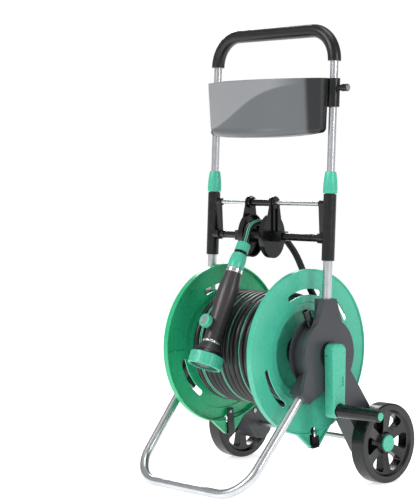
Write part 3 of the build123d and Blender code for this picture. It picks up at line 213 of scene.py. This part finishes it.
def moulded(name, colour, shade, roughness, grain_mm=1.2, bump=0.25, through=0.0):
    """Injection-moulded plastic: even colour with faint flow marks, a fine spark-eroded grain and wear in its
    gloss."""
    material, tree, shader, place = start_material(name)
    flow = add_node(
        tree, "ShaderNodeTexNoise", None, {"Scale": 1 / (FLOW_MM * MM), "Detail": 3.0}, {"Vector": place}
    )
    tone = add_node(tree, "ShaderNodeMapRange", None, {1: CLOUD_LOW, 2: CLOUD_HIGH}, {0: flow.outputs["Fac"]})
    tones = {6: linear(colour), 7: linear(shade)}
    mix = add_node(tree, "ShaderNodeMix", {"data_type": "RGBA"}, tones, {0: tone.outputs[0]})
    tree.links.new(mix.outputs[2], shader.inputs["Base Color"])
    wear = add_node(
        tree, "ShaderNodeTexNoise", None, {"Scale": 1 / (WEAR_MM * MM), "Detail": 4.0}, {"Vector": place}
    )
    dull = {1: CLOUD_LOW, 2: CLOUD_HIGH, 3: roughness - 0.05, 4: roughness + 0.07}
    gloss = add_node(tree, "ShaderNodeMapRange", None, dull, {0: wear.outputs["Fac"]})
    tree.links.new(gloss.outputs[0], shader.inputs["Roughness"])
    grain = add_node(
        tree, "ShaderNodeTexNoise", None, {"Scale": 1 / (grain_mm * MM), "Detail": 2.0}, {"Vector": place}
    )
    height = add_node(
        tree, "ShaderNodeBump", None, {"Strength": bump, "Distance": 0.1 * MM}, {"Height": grain.outputs["Fac"]}
    )
    tree.links.new(height.outputs["Normal"], shader.inputs["Normal"])
    shader.inputs["IOR"].default_value = PLASTIC_IOR
    shader.inputs["Subsurface Weight"].default_value = through
    shader.inputs["Subsurface Radius"].default_value = (0.004, 0.006, 0.005)
    return material


def drawn_metal(name, colour, shade, roughness):
    """Drawn or plated metal: long fine lines along the work, with a little variation in tone and gloss."""
    material, tree, shader, place = start_material(name)
    cloud = add_node(
        tree, "ShaderNodeTexNoise", None, {"Scale": 1 / (METAL_CLOUD_MM * MM), "Detail": 2.0}, {"Vector": place}
    )
    tone = add_node(tree, "ShaderNodeMapRange", None, {1: CLOUD_LOW, 2: CLOUD_HIGH}, {0: cloud.outputs["Fac"]})
    tones = {6: linear(colour), 7: linear(shade)}
    mix = add_node(tree, "ShaderNodeMix", {"data_type": "RGBA"}, tones, {0: tone.outputs[0]})
    tree.links.new(mix.outputs[2], shader.inputs["Base Color"])
    along = add_node(tree, "ShaderNodeMapping", None, {"Scale": (1.0, 1.0, DRAW_STRETCH)}, {"Vector": place})
    lines = add_node(
        tree,
        "ShaderNodeTexNoise",
        None,
        {"Scale": 1 / (DRAW_LINE_MM * MM), "Detail": 3.0},
        {"Vector": along.outputs["Vector"]},
    )
    dull = {1: CLOUD_LOW, 2: CLOUD_HIGH, 3: roughness - 0.06, 4: roughness + 0.08}
    gloss = add_node(tree, "ShaderNodeMapRange", None, dull, {0: lines.outputs["Fac"]})
    tree.links.new(gloss.outputs[0], shader.inputs["Roughness"])
    relief = {"Strength": 0.02, "Distance": 0.02 * MM}
    height = add_node(tree, "ShaderNodeBump", None, relief, {"Height": lines.outputs["Fac"]})
    tree.links.new(height.outputs["Normal"], shader.inputs["Normal"])
    shader.inputs["Metallic"].default_value = 1.0
    return material


def hose_material(name):
    """Extruded PVC hose: black skin with a pair of thin coloured stripes that turn slowly along it, which are
    read from its UV."""
    material, tree, shader, place = start_material(name)
    uv = add_node(tree, "ShaderNodeUVMap", {"uv_map": "around"}).outputs["UV"]
    split = add_node(tree, "ShaderNodeSeparateXYZ", links={"Vector": uv})
    turn = add_node(
        tree,
        "ShaderNodeMath",
        {"operation": "MULTIPLY_ADD"},
        {1: STRIPE_TWIST},
        {0: split.outputs["Y"], 2: split.outputs["X"]},
    )
    phase = add_node(tree, "ShaderNodeMath", {"operation": "FRACT"}, links={0: turn.outputs[0]})
    ramp = add_node(tree, "ShaderNodeValToRGB", links={0: phase.outputs[0]})
    ramp.color_ramp.interpolation = "CONSTANT"
    stops = ramp.color_ramp.elements
    for index, (position, value) in enumerate(STRIPE_MARKS):
        stop = stops[index] if index < 2 else stops.new(position)
        stop.position = position
        stop.color = (value, value, value, 1)
    mix = add_node(
        tree,
        "ShaderNodeMix",
        {"data_type": "RGBA"},
        {6: linear("#111213"), 7: linear("#5fc9a6")},
        {0: ramp.outputs["Color"]},
    )
    tree.links.new(mix.outputs[2], shader.inputs["Base Color"])
    wear = add_node(
        tree, "ShaderNodeTexNoise", None, {"Scale": 1 / (HOSE_WEAR_MM * MM), "Detail": 3.0}, {"Vector": place}
    )
    dull = {1: CLOUD_LOW, 2: CLOUD_HIGH, 3: 0.3, 4: 0.42}
    gloss = add_node(tree, "ShaderNodeMapRange", None, dull, {0: wear.outputs["Fac"]})
    tree.links.new(gloss.outputs[0], shader.inputs["Roughness"])
    skin = add_node(
        tree, "ShaderNodeTexNoise", None, {"Scale": 1 / (HOSE_SKIN_MM * MM), "Detail": 2.0}, {"Vector": place}
    )
    height = add_node(
        tree, "ShaderNodeBump", None, {"Strength": 0.2, "Distance": 0.1 * MM}, {"Height": skin.outputs["Fac"]}
    )
    tree.links.new(height.outputs["Normal"], shader.inputs["Normal"])
    shader.inputs["IOR"].default_value = PVC_IOR
    return material


def panel_material(name):
    """Two-shot moulding: a grey front panel in two tones on a black tub, with painted shade over the panel's
    right.
    The tones and the painted shade are the mesh's own attributes."""
    material, tree, shader, place = start_material(name)
    lower = add_node(tree, "ShaderNodeAttribute", {"attribute_name": "lower"}).outputs["Fac"]
    black_tub_and_shade = add_node(tree, "ShaderNodeAttribute", {"attribute_name": "black_tub_and_shade"}).outputs["Fac"]
    # Below the crease the lower grey; over the right of the panel the same grey is painted shade.
    panel = add_node(
        tree, "ShaderNodeMix", {"data_type": "RGBA"}, {6: linear("#85878a"), 7: linear("#5f6366")}, {0: lower}
    )
    # Black of the tub's ends, back and inside, and painted shade over the front's right end.
    tint = add_node(
        tree, "ShaderNodeMix", {"data_type": "RGBA"}, {7: linear("#1a1b1e")}, {0: black_tub_and_shade, 6: panel.outputs[2]}
    )
    tree.links.new(tint.outputs[2], shader.inputs["Base Color"])
    flow = add_node(
        tree, "ShaderNodeTexNoise", None, {"Scale": 1 / (TUB_FLOW_MM * MM), "Detail": 3.0}, {"Vector": place}
    )
    dull = {1: CLOUD_LOW, 2: CLOUD_HIGH, 3: 0.36, 4: 0.46}
    gloss = add_node(tree, "ShaderNodeMapRange", None, dull, {0: flow.outputs["Fac"]})
    tree.links.new(gloss.outputs[0], shader.inputs["Roughness"])
    grain = add_node(
        tree, "ShaderNodeTexNoise", None, {"Scale": 1 / (TUB_GRAIN_MM * MM), "Detail": 2.0}, {"Vector": place}
    )
    height = add_node(
        tree, "ShaderNodeBump", None, {"Strength": 0.25, "Distance": 0.1 * MM}, {"Height": grain.outputs["Fac"]}
    )
    tree.links.new(height.outputs["Normal"], shader.inputs["Normal"])
    return material


# Moulded polypropylene: a satin gloss, and a little light let in under the surface, which softens its shadows.
mint = moulded("mint_polypropylene", "#4bbb9d", "#45b396", 0.28, bump=0.06, through=0.06)
# Painted shade: a darker, deeper copy of the mint for the left flange, whose inner side is seen in shade.
mint_in_shade = moulded("mint_polypropylene_in_shade", "#2bb57e", "#25ac75", 0.28, bump=0.06, through=0.06)
# Filled polypropylene of the brackets: dark grey with broad, weak highlights.
bracket_grey = moulded("dark_grey_polypropylene", "#3d3e43", "#37383d", 0.36, bump=0.12)
# Black polypropylene: near black, with a narrow highlight on every rounded edge.
black = moulded("black_polypropylene", "#0c0d0f", "#08090a", 0.25, bump=0.10)
# Rubbery skin of the gun's grip: a warm grey without sharp reflections.
gun_grey = moulded("taupe_soft_grip", "#3a3436", "#332e30", 0.36, bump=0.15)
# Polished ABS: sharp highlights.
gun_black = moulded("glossy_black_abs", "#1b1b1d", "#151517", 0.18)
# Grey ABS of the small discs: light and satin.
knob_grey = moulded("grey_abs", "#8b9092", "#7d8284", 0.30)
# Foam sleeve with a closed skin: nearly black, with a coarse grain and a soft sheen.
foam = moulded("black_foam", "#060607", "#040405", 0.36, grain_mm=1.6, bump=0.3)
# Anodised aluminium tube: bright, its reflections blurred.
aluminium = drawn_metal("anodised_aluminium", "#cfd1d4", "#c4c6c9", 0.28)
# Zinc-plated steel: greyer and duller than the tubes.
steel = drawn_metal("zinc_plated_steel", "#c4c6c8", "#b6b8ba", 0.34)
# Chrome plate: nearly a mirror.
chrome = drawn_metal("chrome_plate", "#e6e8ea", "#dfe1e3", 0.12)
# Garden hose: black with a weak gloss that follows each turn, and two thin mint lines.
hose_skin = hose_material("black_pvc_hose")
# The basket's tub: two greys that meet at the crease, black ends, and painted shade over the right of its front.
tub_plastic = panel_material("two_tone_polypropylene_with_painted_shade")

FINISHES = (
    (mint, "flange_right crank_arm grip_cap twist_collar_right twist_collar_left hub_cap_right hub_cap_left"),
    (mint, "connector_nut connector_sleeve gun_bezel gun_flow_knob"),
    # The left flange takes the mint in painted shade.
    (mint_in_shade, "flange_left"),
    (bracket_grey, "side_bracket_right side_bracket_left arm_cover_right arm_cover_left"),
    (bracket_grey, "hub_ring_right hub_ring_left"),
    (black, "crank_grip lower_cross_bar guide_cheek_right guide_cheek_left guide_spacer guide_roller"),
    (black, "tube_sleeve_right tube_sleeve_left collet_right collet_left accessory_peg basket"),
    (black, "water_inlet hose_clip_right hose_clip_left drum_elbow crank_journal left_journal drum_barrel"),
    (black, "wheel_right wheel_left bearing_bush_right bearing_bush_left connector_core gun_rose"),
    (gun_grey, "gun_body"),
    (foam, "foam_grip"),
    (aluminium, "front_stand lower_tube_right lower_tube_left handle_tube upper_cross_rod"),
    (steel, "axle cover_screws clip_rivets crank_pin crank_dowel axle_retainers"),
    (chrome, "gun_neck_ring"),
)
for finish, nodes in FINISHES:
    for node_name in nodes.split():
        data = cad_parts[node_name].data
        data.materials.clear()
        data.materials.append(finish)


# ------------------------------------------------------------------ hose
HOSE_R = 7.0
LEAD_POINTS = [
    (63.0, 113.4, 331.9),
    (60.0, 97.0, 365.5),
    (52.0, 81.0, 398.0),
    (39.0, 74.0, 436.0),
    (20.0, 74.0, 468.0),
    (-3.0, 70.0, 495.0),
    (-15.0, 53.0, 519.0),
    (-22.0, 26.0, 533.5),
    (-24.0, -3.0, 535.5),
    (-20.5, -28.0, 525.0),
    (-9.0, -44.1, 506.4),
    (-7.0, -56.0, 488.0),
]
LEAD_STEPS = 14  # points on the lead's line for each of its control points
LEAD_SIDES = 24
LEAD_START = 0.80  # metres counted before the lead, which brings its stripes to the outer side of the last bend
ACROSS = np.array([[1.0, 0.0, 0.0]])

# The hose on the drum: turns side by side in two layers, each stepping over to the next one near the bottom.
INNER_R = 100.3
OUTER_R = 112.9
LEAD_R = 127.3  # where the lead leaves the outer layer
PITCH = 14.6
FIRST_X = 109.0
INNER_TURNS = 15
OUTER_TURNS = 12
STEPS_A_TURN = 24
STEP_TURN = 0.08  # each side of the drum's lowest line, in turns
LEAVE_TURN = 0.22  # the last stretch, which climbs to the lead
WINDING_STEPS = 3
WINDING_SIDES = 16


def smooth_line(name, points, resolution):
    """Points along one NURBS curve of order 3 whose control points are given, in metres."""
    curve = bpy.data.curves.new(name, "CURVE")
    curve.dimensions = "3D"
    curve.resolution_u = resolution
    spline = curve.splines.new("NURBS")
    spline.points.add(len(points) - 1)
    flat = np.ones((len(points), 4), dtype=np.float32)
    flat[:, :3] = points
    spline.points.foreach_set("co", flat.ravel())
    spline.order_u = 3
    spline.use_endpoint_u = True
    holder = bpy.data.objects.new(name, curve)
    bpy.context.collection.objects.link(holder)
    bpy.context.view_layer.update()
    read = holder.evaluated_get(bpy.context.evaluated_depsgraph_get()).to_mesh()
    line = np.empty(len(read.vertices) * 3, dtype=np.float32)
    read.vertices.foreach_get("co", line)
    bpy.data.objects.remove(holder)
    return line.reshape(-1, 3).astype(float)


def tube_mesh(name, line, radius, reference, sides, material, start=0.0):
    """Tube of a radius swept along a line. Each ring lies across the line's tangent t, turned by the reference
    direction less its part along t. UV map "around" holds (turn, metres along, counted from a start)."""
    tangent = np.gradient(line, axis=0)
    tangent /= np.linalg.norm(tangent, axis=1)[:, None]
    first = reference - (reference * tangent).sum(1)[:, None] * tangent
    first /= np.linalg.norm(first, axis=1)[:, None]
    second = np.cross(tangent, first)
    turn = np.linspace(0.0, 2 * math.pi, sides, endpoint=False)
    spoke = np.cos(turn)[None, :, None] * first[:, None] + np.sin(turn)[None, :, None] * second[:, None]
    rings = line[:, None] + radius * spoke
    count = len(line)
    i, j = np.meshgrid(np.arange(count - 1), np.arange(sides), indexing="ij")
    k = (j + 1) % sides
    quads = np.stack([i * sides + j, i * sides + k, (i + 1) * sides + k, (i + 1) * sides + j], axis=-1)
    faces = quads.reshape(-1, 4).tolist()
    faces.append(list(range(sides - 1, -1, -1)))
    faces.append([(count - 1) * sides + n for n in range(sides)])
    mesh = bpy.data.meshes.new(name)
    mesh.from_pydata(rings.reshape(-1, 3).tolist(), [], faces)
    along = start + np.concatenate([[0.0], np.cumsum(np.linalg.norm(np.diff(line, axis=0), axis=1))])
    turns = np.stack([j, j + 1, j + 1, j], axis=-1) / sides
    metres = np.stack([along[i], along[i], along[i + 1], along[i + 1]], axis=-1)
    uv = np.concatenate([np.stack([turns, metres], axis=-1).reshape(-1, 2), np.zeros((2 * sides, 2))])
    layer = mesh.uv_layers.new(name="around")
    layer.data.foreach_set("uv", uv.ravel().astype(np.float32))
    mesh.polygons.foreach_set("use_smooth", np.arange(len(faces)) < len(faces) - 2)
    mesh.materials.append(material)
    piece = bpy.data.objects.new(name, mesh)
    bpy.context.collection.objects.link(piece)
    return piece


def winding_route():
    """Control points of both layers, in millimetres. A turn keeps its place for most of the way round and steps
    by one pitch, smoothly, at the bottom of the drum. The last stretch climbs to the lead's start."""
    lead_x, lead_y, lead_z = LEAD_POINTS[0]
    lead_turn = math.atan2(lead_z - REEL_Z, lead_y)
    total = INNER_TURNS + OUTER_TURNS
    turns = np.linspace(0.0, total, total * STEPS_A_TURN + 1)
    phase = turns + (lead_turn + math.pi / 2) / (2 * math.pi) - total  # whole at the bottom, where the step is
    phase -= math.floor(phase[0])
    whole = np.floor(phase + 0.5)
    place = whole - 1 + smooth(phase - whole, -STEP_TURN, STEP_TURN)
    inner = np.clip(place, 0, INNER_TURNS - 1)
    outer = np.clip(place - INNER_TURNS, 0, OUTER_TURNS)
    climb = np.clip(place - (INNER_TURNS - 1), 0.0, 1.0)
    left = FIRST_X - PITCH * (INNER_TURNS - 1)
    x = np.where(climb > 0, left + climb * PITCH / 2 + PITCH * outer, FIRST_X - PITCH * inner)
    leave = smooth(turns, total - LEAVE_TURN, total)
    radius = INNER_R + climb * (OUTER_R - INNER_R) + leave * (LEAD_R - OUTER_R)
    x = x + leave * (lead_x - x[-1])
    angle = lead_turn - 2 * math.pi * (total - turns)
    return np.stack([x, radius * np.cos(angle), REEL_Z + radius * np.sin(angle)], axis=1)


lead_line = smooth_line("lead_route", np.array([at(*p) for p in LEAD_POINTS]), LEAD_STEPS)
lead = tube_mesh("hose_lead_skin", lead_line, HOSE_R * MM, ACROSS, LEAD_SIDES, hose_skin, LEAD_START)
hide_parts("hose_lead")
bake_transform(lead)

winding_line = smooth_line("winding_route", at_rows(winding_route()), WINDING_STEPS)
outward = winding_line - at(0.0, 0.0, REEL_Z)
outward[:, 0] = 0.0
outward /= np.linalg.norm(outward, axis=1)[:, None]
winding = tube_mesh("wound_hose", winding_line, HOSE_R * MM, outward, WINDING_SIDES, hose_skin)
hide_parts("hose_winding")
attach(winding, "drum")


# ------------------------------------------------------------------ new pieces
def new_piece(name, points, faces, material, body):
    """Piece from points (n, 3) in metres and faces, smooth, riding on a body."""
    mesh = bpy.data.meshes.new(name)
    mesh.from_pydata(points.tolist(), [], faces)
    mesh.polygons.foreach_set("use_smooth", np.ones(len(faces), dtype=bool))
    mesh.materials.append(material)
    piece = bpy.data.objects.new(name, mesh)
    bpy.context.collection.objects.link(piece)
    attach(piece, body)
    return piece


def loop_grid(rows, columns):
    """Faces of a grid of rows that each close on themselves, with its first and last row shut by a fan to one
    point each: the points are the rows in order, then the first pole, then the last."""
    i, j = np.meshgrid(np.arange(rows - 1), np.arange(columns), indexing="ij")
    k = (j + 1) % columns
    quads = np.stack([i * columns + j, i * columns + k, (i + 1) * columns + k, (i + 1) * columns + j], axis=-1)
    faces = quads.reshape(-1, 4).tolist()
    first, last = rows * columns, rows * columns + 1
    ring = np.arange(columns)
    after = (ring + 1) % columns
    faces += np.stack([np.full(columns, first), after, ring], axis=-1).tolist()
    base = (rows - 1) * columns
    faces += np.stack([np.full(columns, last), base + ring, base + after], axis=-1).tolist()
    return faces


def turned(name, profile, centre, axis, material, body, sides=48):
    """Solid of revolution: a profile of (height along the axis, radius), in millimetres, carried round the
    axis."""
    axis = np.array(axis, dtype=float)
    axis /= np.linalg.norm(axis)
    side = np.cross(axis, [0.0, 0.0, 1.0])
    side /= np.linalg.norm(side)
    other = np.cross(axis, side)
    profile = np.array(profile, dtype=float) * MM
    turn = np.linspace(0.0, 2 * math.pi, sides, endpoint=False)
    spoke = np.cos(turn)[:, None] * side + np.sin(turn)[:, None] * other
    rings = centre + profile[:, None, :1] * axis + profile[:, None, 1:] * spoke[None]
    poles = np.array([centre + profile[0, 0] * axis, centre + profile[-1, 0] * axis])
    points = np.concatenate([rings.reshape(-1, 3), poles])
    return new_piece(name, points, loop_grid(len(profile), sides), material, body)


# ------------------------------------------------------------------ basket
TUB_LOW, TUB_TOP = 712.0, 830.0
TUB_HALF = 166.0
TUB_DEEP = 74.0  # from the back to the middle of the bowed front
TUB_END = 20.0  # and to the front's ends
FRONT_HALF = 154.0
SIDE_STRAIGHT = 10.0
CORNER_Y = 21.0  # the corner curve's middle point, forward of the back
BACK_GAP = 10.0  # from the tubes' axes to the back
TUB_WALL = 2.6
TUB_INNER = 4.8  # from the outline to the inner wall, past the crease's step
CHAMFER = 7.0  # round the underside
END_CHAMFER = 7.0  # added at the left end
TAPER = 5.0  # how much smaller the tub is at the bottom than at the rim, each side
EDGE_RISE = 9.0  # how much higher the underside's edge is at the ends
CREASE_STEP = 1.8
CREASE_LOW, CREASE_RISE, CREASE_MIDDLE, CREASE_SPREAD = 728.0, 95.0, -15.0, 45.0
RIM_ROUND = 0.2
BACK_STEPS, SIDE_STEPS, CORNER_STEPS, FRONT_STEPS = 89, 4, 11, 140
WALL_ROWS = 62
INNER_ROWS = 12
BACK_Y = tube_y((TUB_LOW + TUB_TOP) / 2) - BACK_GAP


def tub_outline():
    """D-shaped outline in plan: a straight back, two short ends and an arc in front, with the front corners as
    quadratic curves."""
    bow = (TUB_HALF**2 + (TUB_DEEP - TUB_END) ** 2) / (2 * (TUB_DEEP - TUB_END))
    back = np.linspace(-TUB_HALF, TUB_HALF, BACK_STEPS + 1)[:-1]
    end = np.linspace(0.0, SIDE_STRAIGHT, SIDE_STEPS + 1)[:-1]
    front = np.linspace(FRONT_HALF, -FRONT_HALF, FRONT_STEPS)
    front_y = BACK_Y - TUB_DEEP + bow - np.sqrt(bow**2 - front**2)
    share = np.linspace(0.0, 1.0, CORNER_STEPS + 1)[:-1, None]
    start = np.array([TUB_HALF, BACK_Y - SIDE_STRAIGHT])
    corner = np.array([TUB_HALF, BACK_Y - CORNER_Y])
    stop = np.array([FRONT_HALF, front_y[0]])
    bend = (1 - share) ** 2 * start + 2 * share * (1 - share) * corner + share**2 * stop
    right = np.concatenate([np.stack([np.full(SIDE_STEPS, TUB_HALF), BACK_Y - end], -1), bend])
    left = right[::-1] * (-1.0, 1.0)
    rear = np.stack([back, np.full(BACK_STEPS, BACK_Y)], -1)
    return np.concatenate([rear, right, np.stack([front, front_y], -1), left])[:-1]


def crease_height(x):
    """Height of the S-shaped crease across the front panel: a logistic curve."""
    return CREASE_LOW + CREASE_RISE / (1.0 + np.exp(-(x - CREASE_MIDDLE) / CREASE_SPREAD))


outline = tub_outline()
run = np.roll(outline, -1, axis=0) - np.roll(outline, 1, axis=0)
run /= np.linalg.norm(run, axis=1)[:, None]
inward = np.stack([-run[:, 1], run[:, 0]], -1)
inward *= np.sign((inward * (np.array([0.0, BACK_Y - 30.0]) - outline)).sum(1))[:, None]
low_edge = TUB_LOW + EDGE_RISE * (np.abs(outline[:, 0]) / TUB_HALF) ** 2.4
on_front = smooth(BACK_Y - outline[:, 1], 8.0, 20.0)
cut = CHAMFER + END_CHAMFER * smooth(-outline[:, 0], 138.0, 160.0) * on_front
hub = np.array([0.0, BACK_Y - 34.0])


def tub_row(inset, height):
    """Row of the tub's surface: the outline moved inward by an inset, at a height."""
    flat = outline + inward * np.broadcast_to(inset, len(outline))[:, None]
    return np.concatenate([flat, np.broadcast_to(height, len(outline))[:, None]], axis=1)


def floor_rows(inset, lift, shares):
    """Rows of the tub's floor, drawn in towards its middle by each share."""
    edge = tub_row(inset, low_edge + lift)
    rows = []
    for share in shares:
        row = edge.copy()
        row[:, :2] = hub + (edge[:, :2] - hub) * share
        row[:, 2] = TUB_LOW + lift + (edge[:, 2] - TUB_LOW - lift) * share**3
        rows.append(row)
    return rows


# From the middle of the underside out, round the chamfer, up the wall, over the rim and down to the inner floor.
rows = floor_rows(cut + TAPER, 0.0, (0.02, 0.3, 0.6, 0.85, 0.95))
bevel_top = low_edge + 1.25 * cut
for share in (0.0, 0.15, 0.4, 0.7, 1.0):
    arc = 1.0 - np.sqrt(1.0 - (1.0 - share) ** 2 * 0.75)
    rows.append(tub_row(TAPER * 0.98 + cut * arc * 2.0, low_edge + (bevel_top - low_edge) * share))
for share in np.linspace(0.02, 1.0, WALL_ROWS):
    z = bevel_top + (TUB_TOP - 1.0 - bevel_top) * share
    x = outline[:, 0]
    below = 1.0 - smooth(z - crease_height(x), -3.0, 3.0)
    fade = (1.0 - smooth(x, 50.0, 125.0)) * on_front * smooth(x, -176.0, -150.0)
    rows.append(tub_row(TAPER * (1.0 - share) + CREASE_STEP * below * fade * smooth(share, 0.0, 0.1), z))
outer_rows = len(rows)
rows.append(tub_row(0.4, TUB_TOP - RIM_ROUND))
rows.append(tub_row(1.1, TUB_TOP))
rows.append(tub_row(TUB_INNER, TUB_TOP - RIM_ROUND))
for share in np.linspace(0.95, 0.0, INNER_ROWS):
    inset = TUB_INNER + TAPER * (1 - share) + cut * 0.6 * (1 - share) ** 4
    rows.append(tub_row(inset, low_edge + TUB_WALL + (TUB_TOP - low_edge - TUB_WALL) * share))
rows += floor_rows(cut * 0.6 + TAPER + TUB_INNER, TUB_WALL, (0.95, 0.85, 0.6, 0.3, 0.02))
poles = np.array([[*hub, TUB_LOW], [*hub, TUB_LOW + TUB_WALL]])
tub_points = np.concatenate([np.stack(rows).reshape(-1, 3), poles])
tub_faces = loop_grid(len(rows), len(outline))
tub = new_piece("basket_tub", at_rows(tub_points), tub_faces, tub_plastic, "handle")

# The lower grey starts at the crease and fades over the whole panel at the right, where it is painted shade. The
# ends, back and inside are black, and so is the front's right end, which is painted shade too.
x, y, z = tub_points.T
is_outer = np.arange(len(tub_points)) < outer_rows * len(outline)
front_side = smooth(BACK_Y - y, 6.0, 14.0)
# Painted shade: the lower grey spreads over the whole panel at its right, where less light falls.
lower_grey_and_shade_tone = 1.0 - smooth(z - crease_height(x), -1.5, 1.5) * (1.0 - smooth(x, 60.0, 135.0))
# Painted shade: the front's right end is black too, where the tub turns away from the light.
black_tub_and_shade_tone = np.where(is_outer, np.maximum(smooth(x, 132.0, 142.0), 1.0 - front_side), 1.0)
for attribute_name, values in (("lower", lower_grey_and_shade_tone), ("black_tub_and_shade", black_tub_and_shade_tone)):
    attribute = tub.data.attributes.new(attribute_name, "FLOAT", "POINT")
    attribute.data.foreach_set("value", values.astype(np.float32))

EAR_R = 13.0
EAR_LOW, EAR_TOP = 772.0, 829.0
EAR_SIDES = 48
EAR_ROWS = 26
WEB_RISE = 30.0  # height over which the web under the clasp reaches its full width
WEB_REACH = 10.0
TUBE_BORE = 8.1
TUBE_X = 168.5


def ear_points(side, columns, levels):
    """Clasp round a sliding tube, as rows up the tube and back down its bore. Its inner side reaches to the tub,
    and the reach grows with height along a quarter circle, which leaves a hollow curve under the web."""
    turn = np.linspace(0.0, 2 * math.pi, columns, endpoint=False)
    up = levels[:, None]
    web = (1.0 - np.sqrt(1.0 - np.clip((up - EAR_LOW) / WEB_RISE, 0.0, 1.0) ** 2)) * WEB_REACH
    skin = EAR_R + web * np.clip(-side * np.cos(turn), 0.0, 1.0) ** 6
    radius = np.concatenate([skin, np.full_like(skin, TUBE_BORE)])
    height = np.broadcast_to(np.concatenate([up, up[::-1]]), radius.shape)
    across, back = radius * np.cos(turn), radius * np.sin(turn)
    return np.stack([side * TUBE_X + across, tube_y(height) + back, height], axis=-1)


level_steps = np.linspace(EAR_LOW + 2.0, EAR_TOP, EAR_ROWS)
levels = np.concatenate([[EAR_LOW, EAR_LOW + 0.4], level_steps, [EAR_TOP + 0.8]])
for side, hand in ((1, "right"), (-1, "left")):
    rings = ear_points(side, EAR_SIDES, levels)
    count, columns = rings.shape[:2]
    i, j = np.meshgrid(np.arange(count), np.arange(columns), indexing="ij")
    k = (j + 1) % columns
    wrap = (i + 1) % count
    quads = np.stack([i * columns + j, i * columns + k, wrap * columns + k, wrap * columns + j], axis=-1)
    clasp_points = at_rows(rings.reshape(-1, 3))
    clasp_faces = quads.reshape(-1, 4).tolist()
    clasp = new_piece(f"basket_clasp_{hand}", clasp_points, clasp_faces, black, "handle")
    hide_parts("basket")
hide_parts("basket")


# ------------------------------------------------------------------ small trims
GUN_TOP = at(-2.0, -85.0, 443.0)
GUN_DIR = np.array([0.0, -0.414, -0.910])
GUN_DIR = GUN_DIR / np.linalg.norm(GUN_DIR)
GUN_FRONT = np.array([0.0, GUN_DIR[2], -GUN_DIR[1]])
KNOB_ALONG, KNOB_OUT = 127.0, 39.2
RING_ALONG = 161.0
COWL_ALONG = 164.0

peg_low, peg_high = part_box("accessory_peg")
peg_end = np.array([peg_high[0], (peg_low[1] + peg_high[1]) / 2, (peg_low[2] + peg_high[2]) / 2])
peg_profile = [(-1.0, 5.6), (0.1, 5.6), (0.45, 5.2), (0.5, 3.0)]
turned("peg_tip", peg_profile, peg_end, (1, 0, 0), knob_grey, "handle")

knob_face = GUN_TOP + GUN_DIR * KNOB_ALONG * MM + GUN_FRONT * KNOB_OUT * MM
knob_profile = [(-1.5, 8.6), (0.25, 8.6), (0.55, 8.2), (0.6, 6.4), (0.2, 6.0), (0.2, 2.0)]
turned("knob_disc", knob_profile, knob_face, GUN_FRONT, knob_grey, "flow_knob")

ring_place = GUN_TOP + GUN_DIR * RING_ALONG * MM
ring_profile = [(-2.6, 16.0), (-2.6, 18.6), (-2.0, 19.3), (2.0, 19.5), (2.6, 19.0), (2.6, 16.0)]
turned("head_ring", ring_profile, ring_place, GUN_DIR, chrome, "guide")

cowl_place = GUN_TOP + GUN_DIR * COWL_ALONG * MM
cowl_profile = [
    (0.0, 17.4),
    (0.0, 18.9),
    (5.0, 20.6),
    (12.0, 25.2),
    (19.0, 30.4),
    (23.4, 33.6),
    (24.3, 33.6),
    (24.3, 30.0),
]
turned("head_cowl", cowl_profile, cowl_place, GUN_DIR, gun_black, "guide")


# ------------------------------------------------------------------ floor
FLOOR_REACH = 60.0
FLOOR_GLOW = 0.64  # a floor lit from below, as white as the room
floor_mesh = bpy.data.meshes.new("floor")
floor_corners = [(FLOOR_REACH * i, FLOOR_REACH * j, 0.0) for i, j in ((-1, -1), (1, -1), (1, 1), (-1, 1))]
floor_mesh.from_pydata(floor_corners, [], [(0, 1, 2, 3)])
floor = bpy.data.objects.new("floor", floor_mesh)
bpy.context.collection.objects.link(floor)
floor_paint, _, floor_shader, _ = start_material("studio_floor")
floor_shader.inputs["Base Color"].default_value = linear("#f6f6f6")
floor_shader.inputs["Emission Color"].default_value = (1.0, 1.0, 1.0, 1.0)
floor_shader.inputs["Emission Strength"].default_value = FLOOR_GLOW
floor_shader.inputs["Roughness"].default_value = 0.6
floor_mesh.materials.append(floor_paint)
